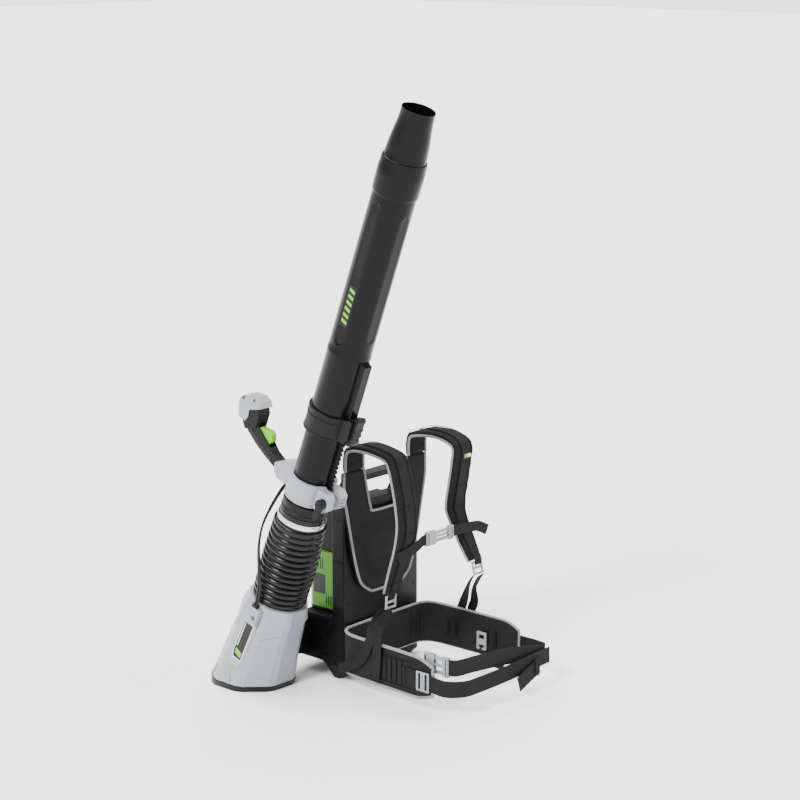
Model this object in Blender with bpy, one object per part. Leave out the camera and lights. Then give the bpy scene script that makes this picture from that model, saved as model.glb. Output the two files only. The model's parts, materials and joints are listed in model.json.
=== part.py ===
"""Backpack leaf blower: a carrying frame with harness, a fan unit beside it and a swinging blow tube.

Metres, +Z up. The wearer faces -Y, and -X is the wearer's right-hand side, where the fan unit
stands. The origin is on the ground under the front edge of the carrying frame's base.
The blow tube, the hose and the fan share one leaning axis, the boom axis. Boom parts are written
in boom coordinates: x across, y away from the axis to the rear, z along the axis from its foot.
"""
import math

import bmesh
import bpy
from mathutils import Matrix, Vector

# Driving dimensions
GAP = 0.0003
LEAN = math.radians(20.4)
BOOM_FOOT = (-0.249, 0.1355, -0.0115)
FRAME_HALF_WIDTH = 0.124
FRAME_FRONT = -0.030
FRAME_REAR = 0.008
FRAME_WALL = 0.004
BASE_TOP = 0.1545
BATTERY_FLOOR = 0.1390
BATTERY_TOP = 0.2810
COVER_TOP = 0.3905
FRAME_TOP = 0.4665
ROUND_STEPS = 28

HOUSING_FOOT = 0.0125
HOUSING_BASE_RADIUS = 0.0885
HOUSING_TAPER = 0.092
SHOULDER = 0.212
HOUSING_TOP = 0.238
HOUSING_TOP_RADIUS = 0.064
HOUSING_WALL = 0.003
HOUSING_SKEW = 0.040
FACET_COUNT = 8
FACET_HALF_ANGLE = math.radians(17)

HOSE_START = 0.2386
TILT_PIVOT = 0.305
HOSE_MIDDLE_START = 0.3675
HOSE_MIDDLE_END = 0.3830
SWING_PIVOT = 0.4135
HOSE_SLEEVE = 0.4405
HOSE_END = 0.4680
HOSE_BORE = 0.0505
RIB_PITCH = 0.0143

REAR_TUBE_RADIUS = 0.0445
REAR_TUBE_WALL = 0.0022
REAR_TUBE_START = 0.4560
REAR_TUBE_END = 0.8400
RAIL_START = 0.5010
RAIL_END = 0.7680
RAIL_HALF_WIDTH = 0.0045
RAIL_TIP = 0.0560
RAIL_TOOTH = 0.0110
RING_BOTTOM = 0.503
RING_TOP = 0.556
RING_BORE = 0.0455
RING_RADIUS = 0.0520
BOLT_DEPTH = 0.0680
BOLT_STATION = 0.5300
COLLAR_BOTTOM = 0.672
COLLAR_TOP = 0.727
FRONT_TUBE_START = 0.6735
CHANNEL_END = 0.855
FRONT_TUBE_END = 1.285
FRONT_TUBE_RADIUS = 0.0475
FRONT_TUBE_BORE = 0.0450
NOZZLE_BOTTOM = 1.229
NOZZLE_TIP = 1.414

GRIP_HALF_WIDTH = 0.0125
HEAD_HALF_WIDTH = 0.0200
TRIGGER_PIVOT = (0.174, 0.572)

STRAP_WIDTH = 0.060
STRAP_THICKNESS = 0.015
BELT_BOTTOM = 0.0335
BELT_TOP = 0.1285
WEBBING_WIDE = 0.038
WEBBING_NARROW = 0.025
WEBBING_THICKNESS = 0.0018

# Colour, roughness and metallic value of each kind of surface
LOOKS = {
    "black_plastic": ((0.022, 0.022, 0.024), 0.50, 0.0),
    "tube_plastic": ((0.030, 0.030, 0.032), 0.42, 0.0),
    "grey_plastic": ((0.560, 0.580, 0.640), 0.42, 0.0),
    "green_plastic": ((0.195, 0.560, 0.030), 0.40, 0.0),
    "rubber": ((0.014, 0.014, 0.015), 0.62, 0.0),
    "fabric": ((0.040, 0.040, 0.042), 0.92, 0.0),
    "webbing": ((0.052, 0.052, 0.054), 0.85, 0.0),
    "steel": ((0.700, 0.700, 0.710), 0.25, 1.0),
    "aluminium": ((0.620, 0.630, 0.650), 0.38, 1.0),
    "circuit_board": ((0.020, 0.160, 0.070), 0.50, 0.0),
}


# ---------------------------------------------------------------- building blocks
def clear_scene():
    for obj in list(bpy.data.objects):
        bpy.data.objects.remove(obj, do_unlink=True)


def material(name, kind):
    colour, roughness, metallic = LOOKS[kind]
    made = bpy.data.materials.new(f"{name}_{kind}")
    made.use_nodes = True
    shader = made.node_tree.nodes["Principled BSDF"]
    shader.inputs["Base Color"].default_value = (*colour, 1.0)
    shader.inputs["Roughness"].default_value = roughness
    shader.inputs["Metallic"].default_value = metallic
    return made


def empty(name, parent=None, location=(0, 0, 0), rotation=(0, 0, 0)):
    made = bpy.data.objects.new(name, None)
    made.empty_display_size = 0.05
    made.parent = parent
    made.location = location
    made.rotation_euler = rotation
    bpy.context.collection.objects.link(made)
    return made


def solid(name, shape, kind, parent=None, origin=(0, 0, 0), smooth=35):
    """One closed mesh. The shape is in its parent's frame, and origin is where its own origin goes."""
    points, faces = shape
    base = Vector(origin)
    mesh = bpy.data.meshes.new(name)
    mesh.from_pydata([Vector(p) - base for p in points], [], faces)
    bm = bmesh.new()
    bm.from_mesh(mesh)
    bmesh.ops.recalc_face_normals(bm, faces=bm.faces)
    bm.to_mesh(mesh)
    bm.free()
    mesh.shade_smooth()
    mesh.set_sharp_from_angle(angle=math.radians(smooth))
    mesh.materials.append(material(name, kind))
    obj = bpy.data.objects.new(name, mesh)
    obj.parent = parent
    obj.location = base
    bpy.context.collection.objects.link(obj)
    return obj


def combine(obj, operation, *shapes):
    """Cuts each shape from the object, or joins it on. The shapes are in the frame of its parent."""
    for shape in shapes:
        tool_name = f"{obj.name}_{operation.lower()}"
        tool = solid(tool_name, shape, "black_plastic", obj.parent)
        tool.hide_render = True
        tool.display_type = "WIRE"
        step = obj.modifiers.new(tool_name, "BOOLEAN")
        step.operation = operation
        step.object = tool
        step.solver = "EXACT"
    return obj


def swept(sections, closed=False):
    """Side faces between matching sections, with a cap at each end unless the sweep closes on itself."""
    count = len(sections[0])
    points = [p for section in sections for p in section]
    faces = []
    for i in range(len(sections) if closed else len(sections) - 1):
        a = i * count
        b = (i + 1) % len(sections) * count
        for j in range(count):
            k = (j + 1) % count
            faces.append((a + j, a + k, b + k, b + j))
    if not closed:
        faces.append(tuple(reversed(range(count))))
        faces.append(tuple(range(len(points) - count, len(points))))
    return points, faces


def box(low, high):
    (x0, y0, z0), (x1, y1, z1) = low, high
    return swept([[(x0, y0, z), (x1, y0, z), (x1, y1, z), (x0, y1, z)] for z in (z0, z1)])


def prism_x(outline, x0, x1):
    return swept([[(x, y, z) for y, z in outline] for x in (x0, x1)])


def prism_y(outline, y0, y1):
    return swept([[(x, y, z) for x, z in outline] for y in (y0, y1)])


def turned(profile, steps=ROUND_STEPS):
    """A closed (radius, height) outline turned round Z. Points on the axis become one point."""
    points = []
    index = {}
    for row, (radius, height) in enumerate(profile):
        for step in range(steps):
            angle = 2 * math.pi * step / steps
            if radius == 0 and step:
                index[row, step] = index[row, 0]
                continue
            index[row, step] = len(points)
            points.append((radius * math.cos(angle), radius * math.sin(angle), height))
    faces = []
    for row in range(len(profile)):
        after = (row + 1) % len(profile)
        if profile[row][0] == 0 and profile[after][0] == 0:
            continue
        for step in range(steps):
            turn = (step + 1) % steps
            corners = (index[row, step], index[row, turn], index[after, turn], index[after, step])
            faces.append(tuple(dict.fromkeys(corners)))
    return points, faces


def moved(shape, matrix):
    points, faces = shape
    return [matrix @ Vector(p) for p in points], faces


def along_x(shape, at):
    """Turns a shape made round Z so that it lies along X."""
    return moved(shape, Matrix.Translation(at) @ Matrix.Rotation(math.pi / 2, 4, "Y"))


def along_y(shape, at):
    return moved(shape, Matrix.Translation(at) @ Matrix.Rotation(-math.pi / 2, 4, "X"))


def smooth_path(knots, steps):
    """Points on a Catmull-Rom curve through the knots."""
    knots = [Vector(k) for k in knots]
    ends = [2 * knots[0] - knots[1], *knots, 2 * knots[-1] - knots[-2]]
    path = []
    for a, b, c, d in zip(ends, ends[1:], ends[2:], ends[3:]):
        for step in range(steps):
            t = step / steps
            path.append(
                0.5
                * (2 * b + (c - a) * t + (2 * a - 5 * b + 4 * c - d) * t**2
                   + (3 * b - a - 3 * c + d) * t**3)
            )
    path.append(knots[-1])
    return path


def ribbon(path, width, thickness, across=None, facing=None):
    """A flat band along the path. Its width runs along across, or its flat side looks along facing."""
    last = len(path) - 1
    sections = []
    for i, point in enumerate(path):
        ahead = (path[min(i + 1, last)] - path[max(i - 1, 0)]).normalized()
        side = Vector(across) if across else Vector(facing(i / last)).cross(ahead)
        side = (side - ahead * side.dot(ahead)).normalized()
        half = side * (width(i / last) if callable(width) else width) / 2
        deep = side.cross(ahead) * thickness / 2
        sections.append([point - half - deep, point + half - deep, point + half + deep, point - half + deep])
    return swept(sections)


def tube(name, path, radius, kind):
    """A round cord along the path, as a bevelled curve with closed ends."""
    curve = bpy.data.curves.new(name, "CURVE")
    curve.dimensions = "3D"
    curve.bevel_depth = radius
    curve.bevel_resolution = 2
    curve.use_fill_caps = True
    spline = curve.splines.new("POLY")
    spline.points.add(len(path) - 1)
    for point, place in zip(spline.points, path):
        point.co = (*place, 1.0)
    curve.materials.append(material(name, kind))
    obj = bpy.data.objects.new(name, curve)
    bpy.context.collection.objects.link(obj)
    return obj


def boom_matrix():
    return Matrix.Translation(BOOM_FOOT) @ Matrix.Rotation(LEAN, 4, "X")


# ---------------------------------------------------------------- carrying frame
def back_frame():
    """A tray open to the rear, with a carry handle across its top and an apron in front of the base."""
    wide = FRAME_HALF_WIDTH
    outline = [(-wide, BASE_TOP + GAP), (wide, BASE_TOP + GAP), (wide, 0.4285), (0.078, FRAME_TOP)]
    outline += [(-0.078, FRAME_TOP), (-wide, 0.4285)]
    frame = solid("back_frame", prism_y(outline, FRAME_FRONT, FRAME_REAR), "black_plastic")
    inner = wide - FRAME_WALL
    hollow = [(-inner, BASE_TOP + 0.008), (inner, BASE_TOP + 0.008), (inner, 0.3965), (-inner, 0.3965)]
    grip = [(-0.058, 0.4085), (0.058, 0.4085), (0.068, 0.4195), (0.068, 0.4325), (0.048, 0.4535)]
    grip += [(-0.048, 0.4535), (-0.068, 0.4325), (-0.068, 0.4195)]
    apron = box((-wide, FRAME_FRONT, 0.0505), (wide, FRAME_FRONT + FRAME_WALL, BASE_TOP + 0.005))
    combine(frame, "UNION", apron)
    combine(
        frame,
        "DIFFERENCE",
        prism_y(hollow, FRAME_FRONT + FRAME_WALL, FRAME_REAR + 0.01),
        prism_y(grip, FRAME_FRONT - 0.01, FRAME_REAR + 0.01),
    )


def base_block():
    """The moulded foot of the frame: a hollow block that carries the battery and stands on a front toe."""
    face = FRAME_FRONT + FRAME_WALL + GAP
    outline = [(FRAME_FRONT, 0.0155), (-0.0125, 0.0000), (0.0040, 0.0000), (0.037, 0.0325), (0.112, 0.0325)]
    outline += [(0.124, 0.0465), (0.124, 0.1060), (0.116, 0.1290), (0.104, BATTERY_FLOOR)]
    outline += [(0.010, BATTERY_FLOOR), (0.0085, BASE_TOP), (face, BASE_TOP), (face, 0.0502), (FRAME_FRONT, 0.0502)]
    wide = FRAME_HALF_WIDTH
    base = solid("base_block", prism_x(outline, -wide, wide), "black_plastic")
    inside = [(0.036, 0.0185), (0.114, 0.0185), (0.117, 0.1000), (0.110, 0.1230), (0.100, 0.1330)]
    inside += [(-0.021, 0.1330), (-0.021, 0.0545), (0.010, 0.0185)]
    slots = [
        box((x - 0.012, -0.0262, 0.0305), (x + 0.012, 0.0012, 0.0355))
        for x in (-0.120, 0.120)
    ]
    combine(base, "DIFFERENCE", prism_x(inside, -wide + 0.005, wide - 0.005), *slots)


def fan_bracket():
    """Joins the fan housing's inner facet to the side of the base."""
    def facet_x(z):
        station = (z - BOOM_FOOT[2]) / math.cos(LEAN) - 0.009
        return BOOM_FOOT[0] + HOUSING_BASE_RADIUS - HOUSING_TAPER * station + 0.0006

    outer = -FRAME_HALF_WIDTH - GAP
    outline = [(facet_x(0.0485), 0.0485), (outer, 0.0405), (outer, 0.1265), (-0.152, 0.1305)]
    outline.append((facet_x(0.1165), 0.1165))
    solid("fan_bracket", prism_y(outline, 0.080, 0.112), "black_plastic")


def rear_panel():
    """Closes the back of the frame; the block on it is the battery's plug."""
    wide = FRAME_HALF_WIDTH - FRAME_WALL - 0.0005
    panel = box((-wide, FRAME_REAR - 0.004, BASE_TOP + 0.0085), (wide, FRAME_REAR, 0.3960))
    plug = box((-0.030, FRAME_REAR - 0.001, 0.1885), (0.030, 0.030, 0.2265))
    combine(solid("rear_panel", panel, "black_plastic"), "UNION", plug)


def controller():
    """The electronics above the battery, under a cover whose rear edge slopes."""
    cover = box((-0.092, FRAME_REAR + GAP, BATTERY_TOP + 0.0012), (0.092, 0.106, COVER_TOP))
    cover = solid("controller_cover", cover, "black_plastic")
    slope = prism_x([(0.066, COVER_TOP + 0.001), (0.120, COVER_TOP + 0.001), (0.120, 0.3350)], -0.1, 0.1)
    inside = box((-0.088, 0.0, 0.2885), (0.088, 0.086, 0.3585))
    combine(cover, "DIFFERENCE", slope, inside)
    solid("controller_board", box((-0.070, 0.020, 0.2925), (0.070, 0.0216, 0.3525)), "circuit_board")


def battery():
    """The pack slides onto its plug from the rear; the latch over it hangs from the cover's rear edge."""
    outline = [(-0.091, 0.014), (0.091, 0.014), (0.097, 0.022), (0.097, 0.097), (0.086, 0.111)]
    outline += [(-0.086, 0.111), (-0.097, 0.097), (-0.097, 0.022)]
    low = [(x, y, BATTERY_FLOOR + GAP) for x, y in outline]
    high = [(x, y, BATTERY_TOP) for x, y in outline]
    pack = solid("battery", swept([low, high]), "green_plastic")
    socket = box((-0.032, 0.0, 0.1855), (0.032, 0.032, 0.2295))
    combine(pack, "DIFFERENCE", socket)
    hook = [(0.1063, 0.2825), (0.1120, 0.2825), (0.1135, 0.2900), (0.1120, 0.3010), (0.1095, 0.3040)]
    hook += [(0.1075, 0.3032), (0.1063, 0.3010)]
    solid("battery_latch", prism_x(hook, -0.019, 0.019), "black_plastic", origin=(0, 0.1092, 0.3020))


# ---------------------------------------------------------------- fan unit
def facet_angles():
    """Both ends of every facet of the octagonal housing, from angle 0 on."""
    step = 2 * math.pi / FACET_COUNT
    return [k * step + end * FACET_HALF_ANGLE for k in range(FACET_COUNT) for end in (-1, 1)]


def facet_radius(angle, apothem):
    step = 2 * math.pi / FACET_COUNT
    return apothem / math.cos((angle + step / 2) % step - step / 2)


def housing_apothem(station):
    if station <= SHOULDER:
        return HOUSING_BASE_RADIUS - HOUSING_TAPER * max(station, 0.0)
    low = HOUSING_BASE_RADIUS - HOUSING_TAPER * SHOULDER
    share = (station - SHOULDER) / (HOUSING_TOP - SHOULDER)
    return low + (HOUSING_TOP_RADIUS - low) * share


def on_shell(angle, radius, station):
    """A point of the housing, whose centre line drifts to the rear of the boom axis towards its foot."""
    drift = HOUSING_SKEW * (HOUSING_TOP - station)
    return (radius * math.cos(angle), radius * math.sin(angle) + drift, station)


def at_height(angle, radius, height):
    """The point of the housing at this angle and radius that lies on the level plane at this height."""
    rear = radius * math.sin(angle) + HOUSING_SKEW * HOUSING_TOP
    rise = height - BOOM_FOOT[2] - rear * math.sin(LEAN)
    return on_shell(angle, radius, rise / (math.cos(LEAN) - HOUSING_SKEW * math.sin(LEAN)))


def at_station(angle, radius, station):
    return (radius * math.cos(angle), radius * math.sin(angle), station)


def housing_section(angle, shift):
    """The outline of the shell's wall at one angle, kept to its own side of the seam by shift."""
    def wall(station, inset):
        return on_shell(angle, facet_radius(angle, housing_apothem(station)) - inset, station)

    foot = facet_radius(angle, HOUSING_BASE_RADIUS)
    section = [at_height(angle, foot, HOUSING_FOOT)]
    section += [wall(station, 0) for station in (0.110, SHOULDER, HOUSING_TOP)]
    section += [on_shell(angle, 0.0560, station) for station in (HOUSING_TOP, HOUSING_TOP - 0.003)]
    section += [wall(station, HOUSING_WALL) for station in (SHOULDER - 0.002, 0.110)]
    section.append(at_height(angle, foot - HOUSING_WALL, HOUSING_FOOT))
    return [(x, y + shift, z) for x, y, z in section]


def fan_housing(boom):
    angles = facet_angles()
    rear = [0.0, *[a for a in angles if 0 < a < math.pi], math.pi]
    front = [a + math.pi for a in rear]
    for name, half, side in (("fan_housing_rear", rear, 1), ("fan_housing_front", front, -1)):
        sections = [housing_section(a, side * GAP / 2) for a in half]
        solid(name, swept(sections), "grey_plastic", boom, smooth=20)


def base_lip(boom):
    """The rubber rim that the fan unit stands on."""
    sections = []
    for angle in facet_angles():
        rim = facet_radius(angle, HOUSING_BASE_RADIUS)
        wall = [(rim + 0.0018, 0.0), (rim + 0.0018, HOUSING_FOOT - GAP)]
        wall += [(rim - 0.0090, HOUSING_FOOT - GAP), (rim - 0.0090, 0.0)]
        sections.append([at_height(angle, r, z) for r, z in wall])
    solid("base_lip", swept(sections, closed=True), "rubber", boom)


def intake_grille(boom):
    """Rings joined by spokes, level, inside the rubber rim."""
    rows = [0.18, 0.42, 0.48, 0.70, 0.76, 0.93, 0.995]
    open_rows = (0, 2, 4)
    angles = facet_angles()
    turns = len(angles)
    rim = [facet_radius(a, HOUSING_BASE_RADIUS) - 0.0094 for a in angles]

    def kept(row, turn):
        return 0 <= row < len(rows) - 1 and (row not in open_rows or turn % 4 == 1)

    bm = bmesh.new()
    grid = [
        [[bm.verts.new(at_height(a, f * r, z)) for a, r in zip(angles, rim)] for f in rows]
        for z in (0.003, 0.0065)
    ]
    bm.faces.new([grid[0][0][t] for t in reversed(range(turns))])
    bm.faces.new([grid[1][0][t] for t in range(turns)])
    for row in range(-1, len(rows) - 1):
        for turn in range(turns):
            after = (turn + 1) % turns
            inside = row < 0 or kept(row, turn)
            if kept(row, turn):
                for level in grid:
                    bm.faces.new([level[row][turn], level[row][after], level[row + 1][after], level[row + 1][turn]])
            if inside != kept(row + 1, turn):
                low, high = grid[0][row + 1], grid[1][row + 1]
                bm.faces.new([low[turn], low[after], high[after], high[turn]])
            if 0 <= row and kept(row, turn) != kept(row, after):
                bm.faces.new([grid[0][row][after], grid[0][row + 1][after], grid[1][row + 1][after], grid[1][row][after]])
    bmesh.ops.delete(bm, geom=[v for v in bm.verts if not v.link_faces], context="VERTS")
    bm.verts.index_update()
    shape = [tuple(v.co) for v in bm.verts], [[v.index for v in f.verts] for f in bm.faces]
    bm.free()
    solid("intake_grille", shape, "black_plastic", boom)


def blade(root, tip, foot, head, turn, twist, thickness):
    """A plate from one radius to another, leaning round the axis by twist over its height."""
    sections = []
    for radius in (root, tip):
        lean = twist * root / radius
        slip = thickness / 2 / radius
        section = []
        for height, shift in ((foot, -lean / 2), (head, lean / 2)):
            ends = [turn + shift - slip, turn + shift + slip]
            section += [at_station(a, radius, height) for a in (ends if height == foot else reversed(ends))]
        sections.append(section)
    return swept(sections)


def fan_duct(boom):
    """The duct round the fan, with the vanes that carry the motor cup."""
    profile = [(0.0700, 0.046), (0.0700, 0.049), (0.0612, 0.058), (0.0612, 0.206), (0.0585, 0.206), (0.0585, 0.056)]
    duct = solid("fan_duct", turned(profile), "black_plastic", boom)
    cup = [(0.0338, 0.104), (0.0338, 0.174), (0.0315, 0.174), (0.0315, 0.104)]
    vanes = [
        blade(0.0325, 0.0598, 0.112, 0.170, 2 * math.pi * k / 6, -0.30, 0.0022) for k in range(6)
    ]
    combine(duct, "UNION", turned(cup), *vanes)


def motor(boom):
    can = [(0, 0.130), (0.0046, 0.130), (0.0046, 0.104), (0.0310, 0.104), (0.0310, 0.1765), (0, 0.1765)]
    solid("motor", turned(can, 20), "aluminium", boom)
    cone = [(0, 0.1768), (0.0330, 0.1768), (0.0320, 0.186), (0.0260, 0.202), (0.0150, 0.216), (0, 0.222)]
    solid("tail_cone", turned(cone, 20), "black_plastic", boom)
    shaft = [(0, 0.0570), (0.0060, 0.0570), (0.0060, 0.0630), (0.0040, 0.0630), (0.0040, 0.1290), (0, 0.1290)]
    solid("motor_shaft", turned(shaft, 16), "steel", boom)


def impeller(boom):
    hub = [(0.0043, 0.0634), (0.0120, 0.0634), (0.0220, 0.0720), (0.0240, 0.0780), (0.0240, 0.0980), (0.0043, 0.0980)]
    wheel = solid("impeller", turned(hub), "black_plastic", boom)
    blades = [
        blade(0.0225, 0.0570, 0.070, 0.096, 2 * math.pi * k / 7, 1.1, 0.0024) for k in range(7)
    ]
    combine(wheel, "UNION", *blades)


def cable_boss(boom):
    """The screwed block on the outer facet where the control cables enter the fan unit."""
    outline = [(-0.0722, 0.186), (-0.0697, 0.212), (-0.0664, 0.230), (-0.0790, 0.230), (-0.0840, 0.222)]
    outline += [(-0.0840, 0.200), (-0.0775, 0.186)]
    solid("cable_boss", prism_y(outline, -0.021, 0.021), "grey_plastic", boom)
    low = [(x, y, 0.2303) for x, y in ((-0.0770, -0.0075), (-0.0664, -0.0075), (-0.0664, 0.0075), (-0.0770, 0.0075))]
    high = [(x, y, 0.2375) for x, y in ((-0.0758, -0.0066), (-0.0672, -0.0066), (-0.0672, 0.0066), (-0.0758, 0.0066))]
    solid("cable_gland", swept([low, high]), "rubber", boom)


def control_cables():
    """Two cables side by side from the gland, round the rear of the hose, up to the handle's bracket."""
    route = [(-0.0717, 0.000, 0.2384), (-0.0705, 0.001, 0.2500), (-0.0690, 0.006, 0.2800)]
    route += [(-0.0660, 0.024, 0.3170), (-0.0580, 0.048, 0.3600), (-0.0440, 0.064, 0.4000)]
    route += [(-0.0240, 0.0710, 0.4400), (-0.0090, 0.0700, 0.4750), (0.0, 0.0670, 0.5010)]
    path = smooth_path(route, 5)
    place = boom_matrix()
    for name, offset in (("control_cable_front", -0.0031), ("control_cable_rear", 0.0031)):
        points = []
        for i, point in enumerate(path):
            ahead = path[min(i + 1, len(path) - 1)] - path[max(i - 1, 0)]
            aside = Vector((point.x, point.y, 0)).cross(ahead).normalized()
            points.append(place @ (point + aside * offset))
        tube(name, points, 0.0026, "rubber")


# ---------------------------------------------------------------- hose and blow tube
def rib_radius(station):
    return 0.0628 - 0.30 * (station - 0.325) ** 2


def bellows(start, end, ribs, sleeve=None):
    """A pleated wall from start to end, with an optional plain sleeve (end station, radius) after it."""
    pitch = (end - start) / ribs
    profile = [(0.0572, start)]
    for rib in range(ribs):
        middle = start + (rib + 0.5) * pitch
        profile.append((rib_radius(middle), middle - 0.0016))
        profile.append((rib_radius(middle), middle + 0.0016))
        profile.append((0.0572, middle + pitch / 2))
    if sleeve:
        profile[-1] = (sleeve[1], end)
        profile += [(sleeve[1], sleeve[0]), (0.0497, sleeve[0]), (0.0497, end + 0.002)]
        profile.append((HOSE_BORE + 0.003, end - 0.004))
    else:
        profile.append((HOSE_BORE + 0.003, end))
    profile.append((HOSE_BORE + 0.003, start))
    return turned(profile, 24)


def hose(boom, tilting, swinging):
    low = bellows(HOSE_START, HOSE_MIDDLE_START - GAP, 9)
    solid("hose_lower", low, "rubber", boom)
    middle = bellows(HOSE_MIDDLE_START, HOSE_MIDDLE_END, 1)
    hose_part("hose_middle", middle, tilting)
    high = bellows(HOSE_MIDDLE_END + GAP, HOSE_SLEEVE, 4, (HOSE_END, 0.0522))
    hose_part("hose_upper", high, swinging)


def hose_part(name, shape, pivot):
    """A part in boom coordinates, hung on a pivot empty whose origin is on its joint's axis."""
    rise = Matrix.Translation((0, 0, -pivot.location.z))
    solid(name, moved(shape, rise), "rubber", pivot)


def hose_fittings(boom):
    cuff = [(0.0449, 0.4425), (0.0491, 0.4425), (0.0491, HOSE_END + 0.0006), (0.0527, HOSE_END + 0.0018)]
    cuff += [(0.0527, 0.4970), (0.0515, 0.4985), (0.0449, 0.4985)]
    solid("hose_cuff", turned(cuff), "black_plastic", boom)
    band = [(0.0525, 0.4450), (0.0540, 0.4450), (0.0540, 0.4480), (0.0534, 0.4510), (0.0540, 0.4540)]
    band += [(0.0540, 0.4570), (0.0525, 0.4570)]
    band = solid("hose_band", turned(band), "steel", boom)
    screw_block = box((0.0420, -0.009, 0.4445), (0.0640, 0.009, 0.4575))
    bore = turned([(0, 0.440), (0.0530, 0.440), (0.0530, 0.462), (0, 0.462)])
    combine(band, "UNION", screw_block)
    combine(band, "DIFFERENCE", bore)


def rear_tube(boom):
    bore = REAR_TUBE_RADIUS - REAR_TUBE_WALL
    wall = [(bore, REAR_TUBE_START), (REAR_TUBE_RADIUS, REAR_TUBE_START)]
    wall += [(REAR_TUBE_RADIUS, REAR_TUBE_END), (bore, REAR_TUBE_END)]
    pipe = solid("rear_tube", turned(wall), "tube_plastic", boom)
    teeth = []
    count = int((RAIL_END - RAIL_START) / RAIL_TOOTH)
    for tooth in range(count):
        foot = RAIL_START + tooth * RAIL_TOOTH
        teeth += [(-RAIL_TIP + 0.0035, foot), (-RAIL_TIP, foot + 0.0015)]
        teeth += [(-RAIL_TIP, foot + 0.0075), (-RAIL_TIP + 0.0035, foot + 0.0090)]
    teeth += [(-0.0435, RAIL_START + count * RAIL_TOOTH), (-0.0435, RAIL_START)]
    combine(pipe, "UNION", prism_x(teeth, -RAIL_HALF_WIDTH, RAIL_HALF_WIDTH))


def open_ring(bore, radius, bottom, top, half_gap, edge=0.0015):
    """A ring with chamfered edges that leaves a gap open at the front of the tube."""
    start = -math.pi / 2 + half_gap
    turn = 2 * math.pi - 2 * half_gap
    wall = [(bore, bottom), (radius - edge, bottom), (radius, bottom + edge), (radius, top - edge)]
    wall += [(radius - edge, top), (bore, top)]
    angles = [start + turn * k / ROUND_STEPS for k in range(ROUND_STEPS + 1)]
    return swept([[at_station(a, r, z) for r, z in wall] for a in angles])


def handle_clamp(boom):
    """The split ring on the rear tube: two lugs beside the rail, and a bracket for the grip behind."""
    ring = open_ring(RING_BORE, RING_RADIUS, RING_BOTTOM, RING_TOP, math.radians(11))
    clamp = solid("clamp_ring", ring, "grey_plastic", boom)
    side = [(-0.0445, 0.506), (-0.0445, 0.553), (-0.0700, 0.553), (-0.0800, 0.545)]
    side += [(-0.0800, 0.515), (-0.0700, 0.506)]
    bracket = [(0.0490, 0.5035), (0.0490, 0.5545), (0.0720, 0.5540), (0.0910, 0.5425), (0.1010, 0.5345)]
    bracket += [(0.0985, 0.5170), (0.0860, 0.5045)]
    combine(
        clamp,
        "UNION",
        prism_x(side, -0.0300, -0.0085),
        prism_x(side, 0.0085, 0.0300),
        prism_x(bracket, -0.0170, 0.0170),
    )
    bore = along_x(turned([(0, -0.04), (0.0043, -0.04), (0.0043, 0.04), (0, 0.04)], 16), (0, -BOLT_DEPTH, BOLT_STATION))
    inner = turned([(0, 0.49), (RING_BORE, 0.49), (RING_BORE, 0.57), (0, 0.57)])
    socket = prism_x([(0.0790, 0.512), (0.0790, 0.5405), (0.1100, 0.5500), (0.1100, 0.520)], -0.0128, 0.0128)
    ribs = [box((0.0110, -0.0830, z), (0.0270, -0.0775, z + 0.003)) for z in (0.518, 0.526, 0.534)]
    combine(clamp, "DIFFERENCE", inner, bore, socket, *ribs)


def clamp_bolt(boom):
    pin = [(0, -0.0300), (0.0038, -0.0300), (0.0038, 0.0303), (0.0085, 0.0303), (0.0085, 0.0370), (0, 0.0370)]
    solid("clamp_bolt", along_x(turned(pin, 16), (0, -BOLT_DEPTH, BOLT_STATION)), "steel", boom)
    hub = [(0, -0.0460), (0.0090, -0.0460), (0.0115, -0.0430), (0.0115, -0.0303), (0, -0.0303)]
    place = (0, -BOLT_DEPTH, BOLT_STATION)
    lever = solid("clamp_lever", along_x(turned(hub, 20), place), "black_plastic", boom, origin=place)
    arm = [(-0.0740, 0.530), (-0.0620, 0.530), (-0.0590, 0.500), (-0.0620, 0.489), (-0.0690, 0.489), (-0.0720, 0.500)]
    combine(lever, "UNION", prism_x(arm, -0.0440, -0.0330))


def grip_outline():
    low = [(0.0795, 0.5125), (0.1100, 0.5205), (0.1400, 0.5290), (0.1720, 0.5410), (0.2030, 0.5570)]
    high = [(0.2150, 0.5700), (0.1960, 0.5900), (0.1740, 0.5800), (0.1560, 0.5690), (0.1370, 0.5590)]
    high += [(0.1180, 0.5460), (0.0980, 0.5395), (0.0795, 0.5390)]
    return low + high


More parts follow.
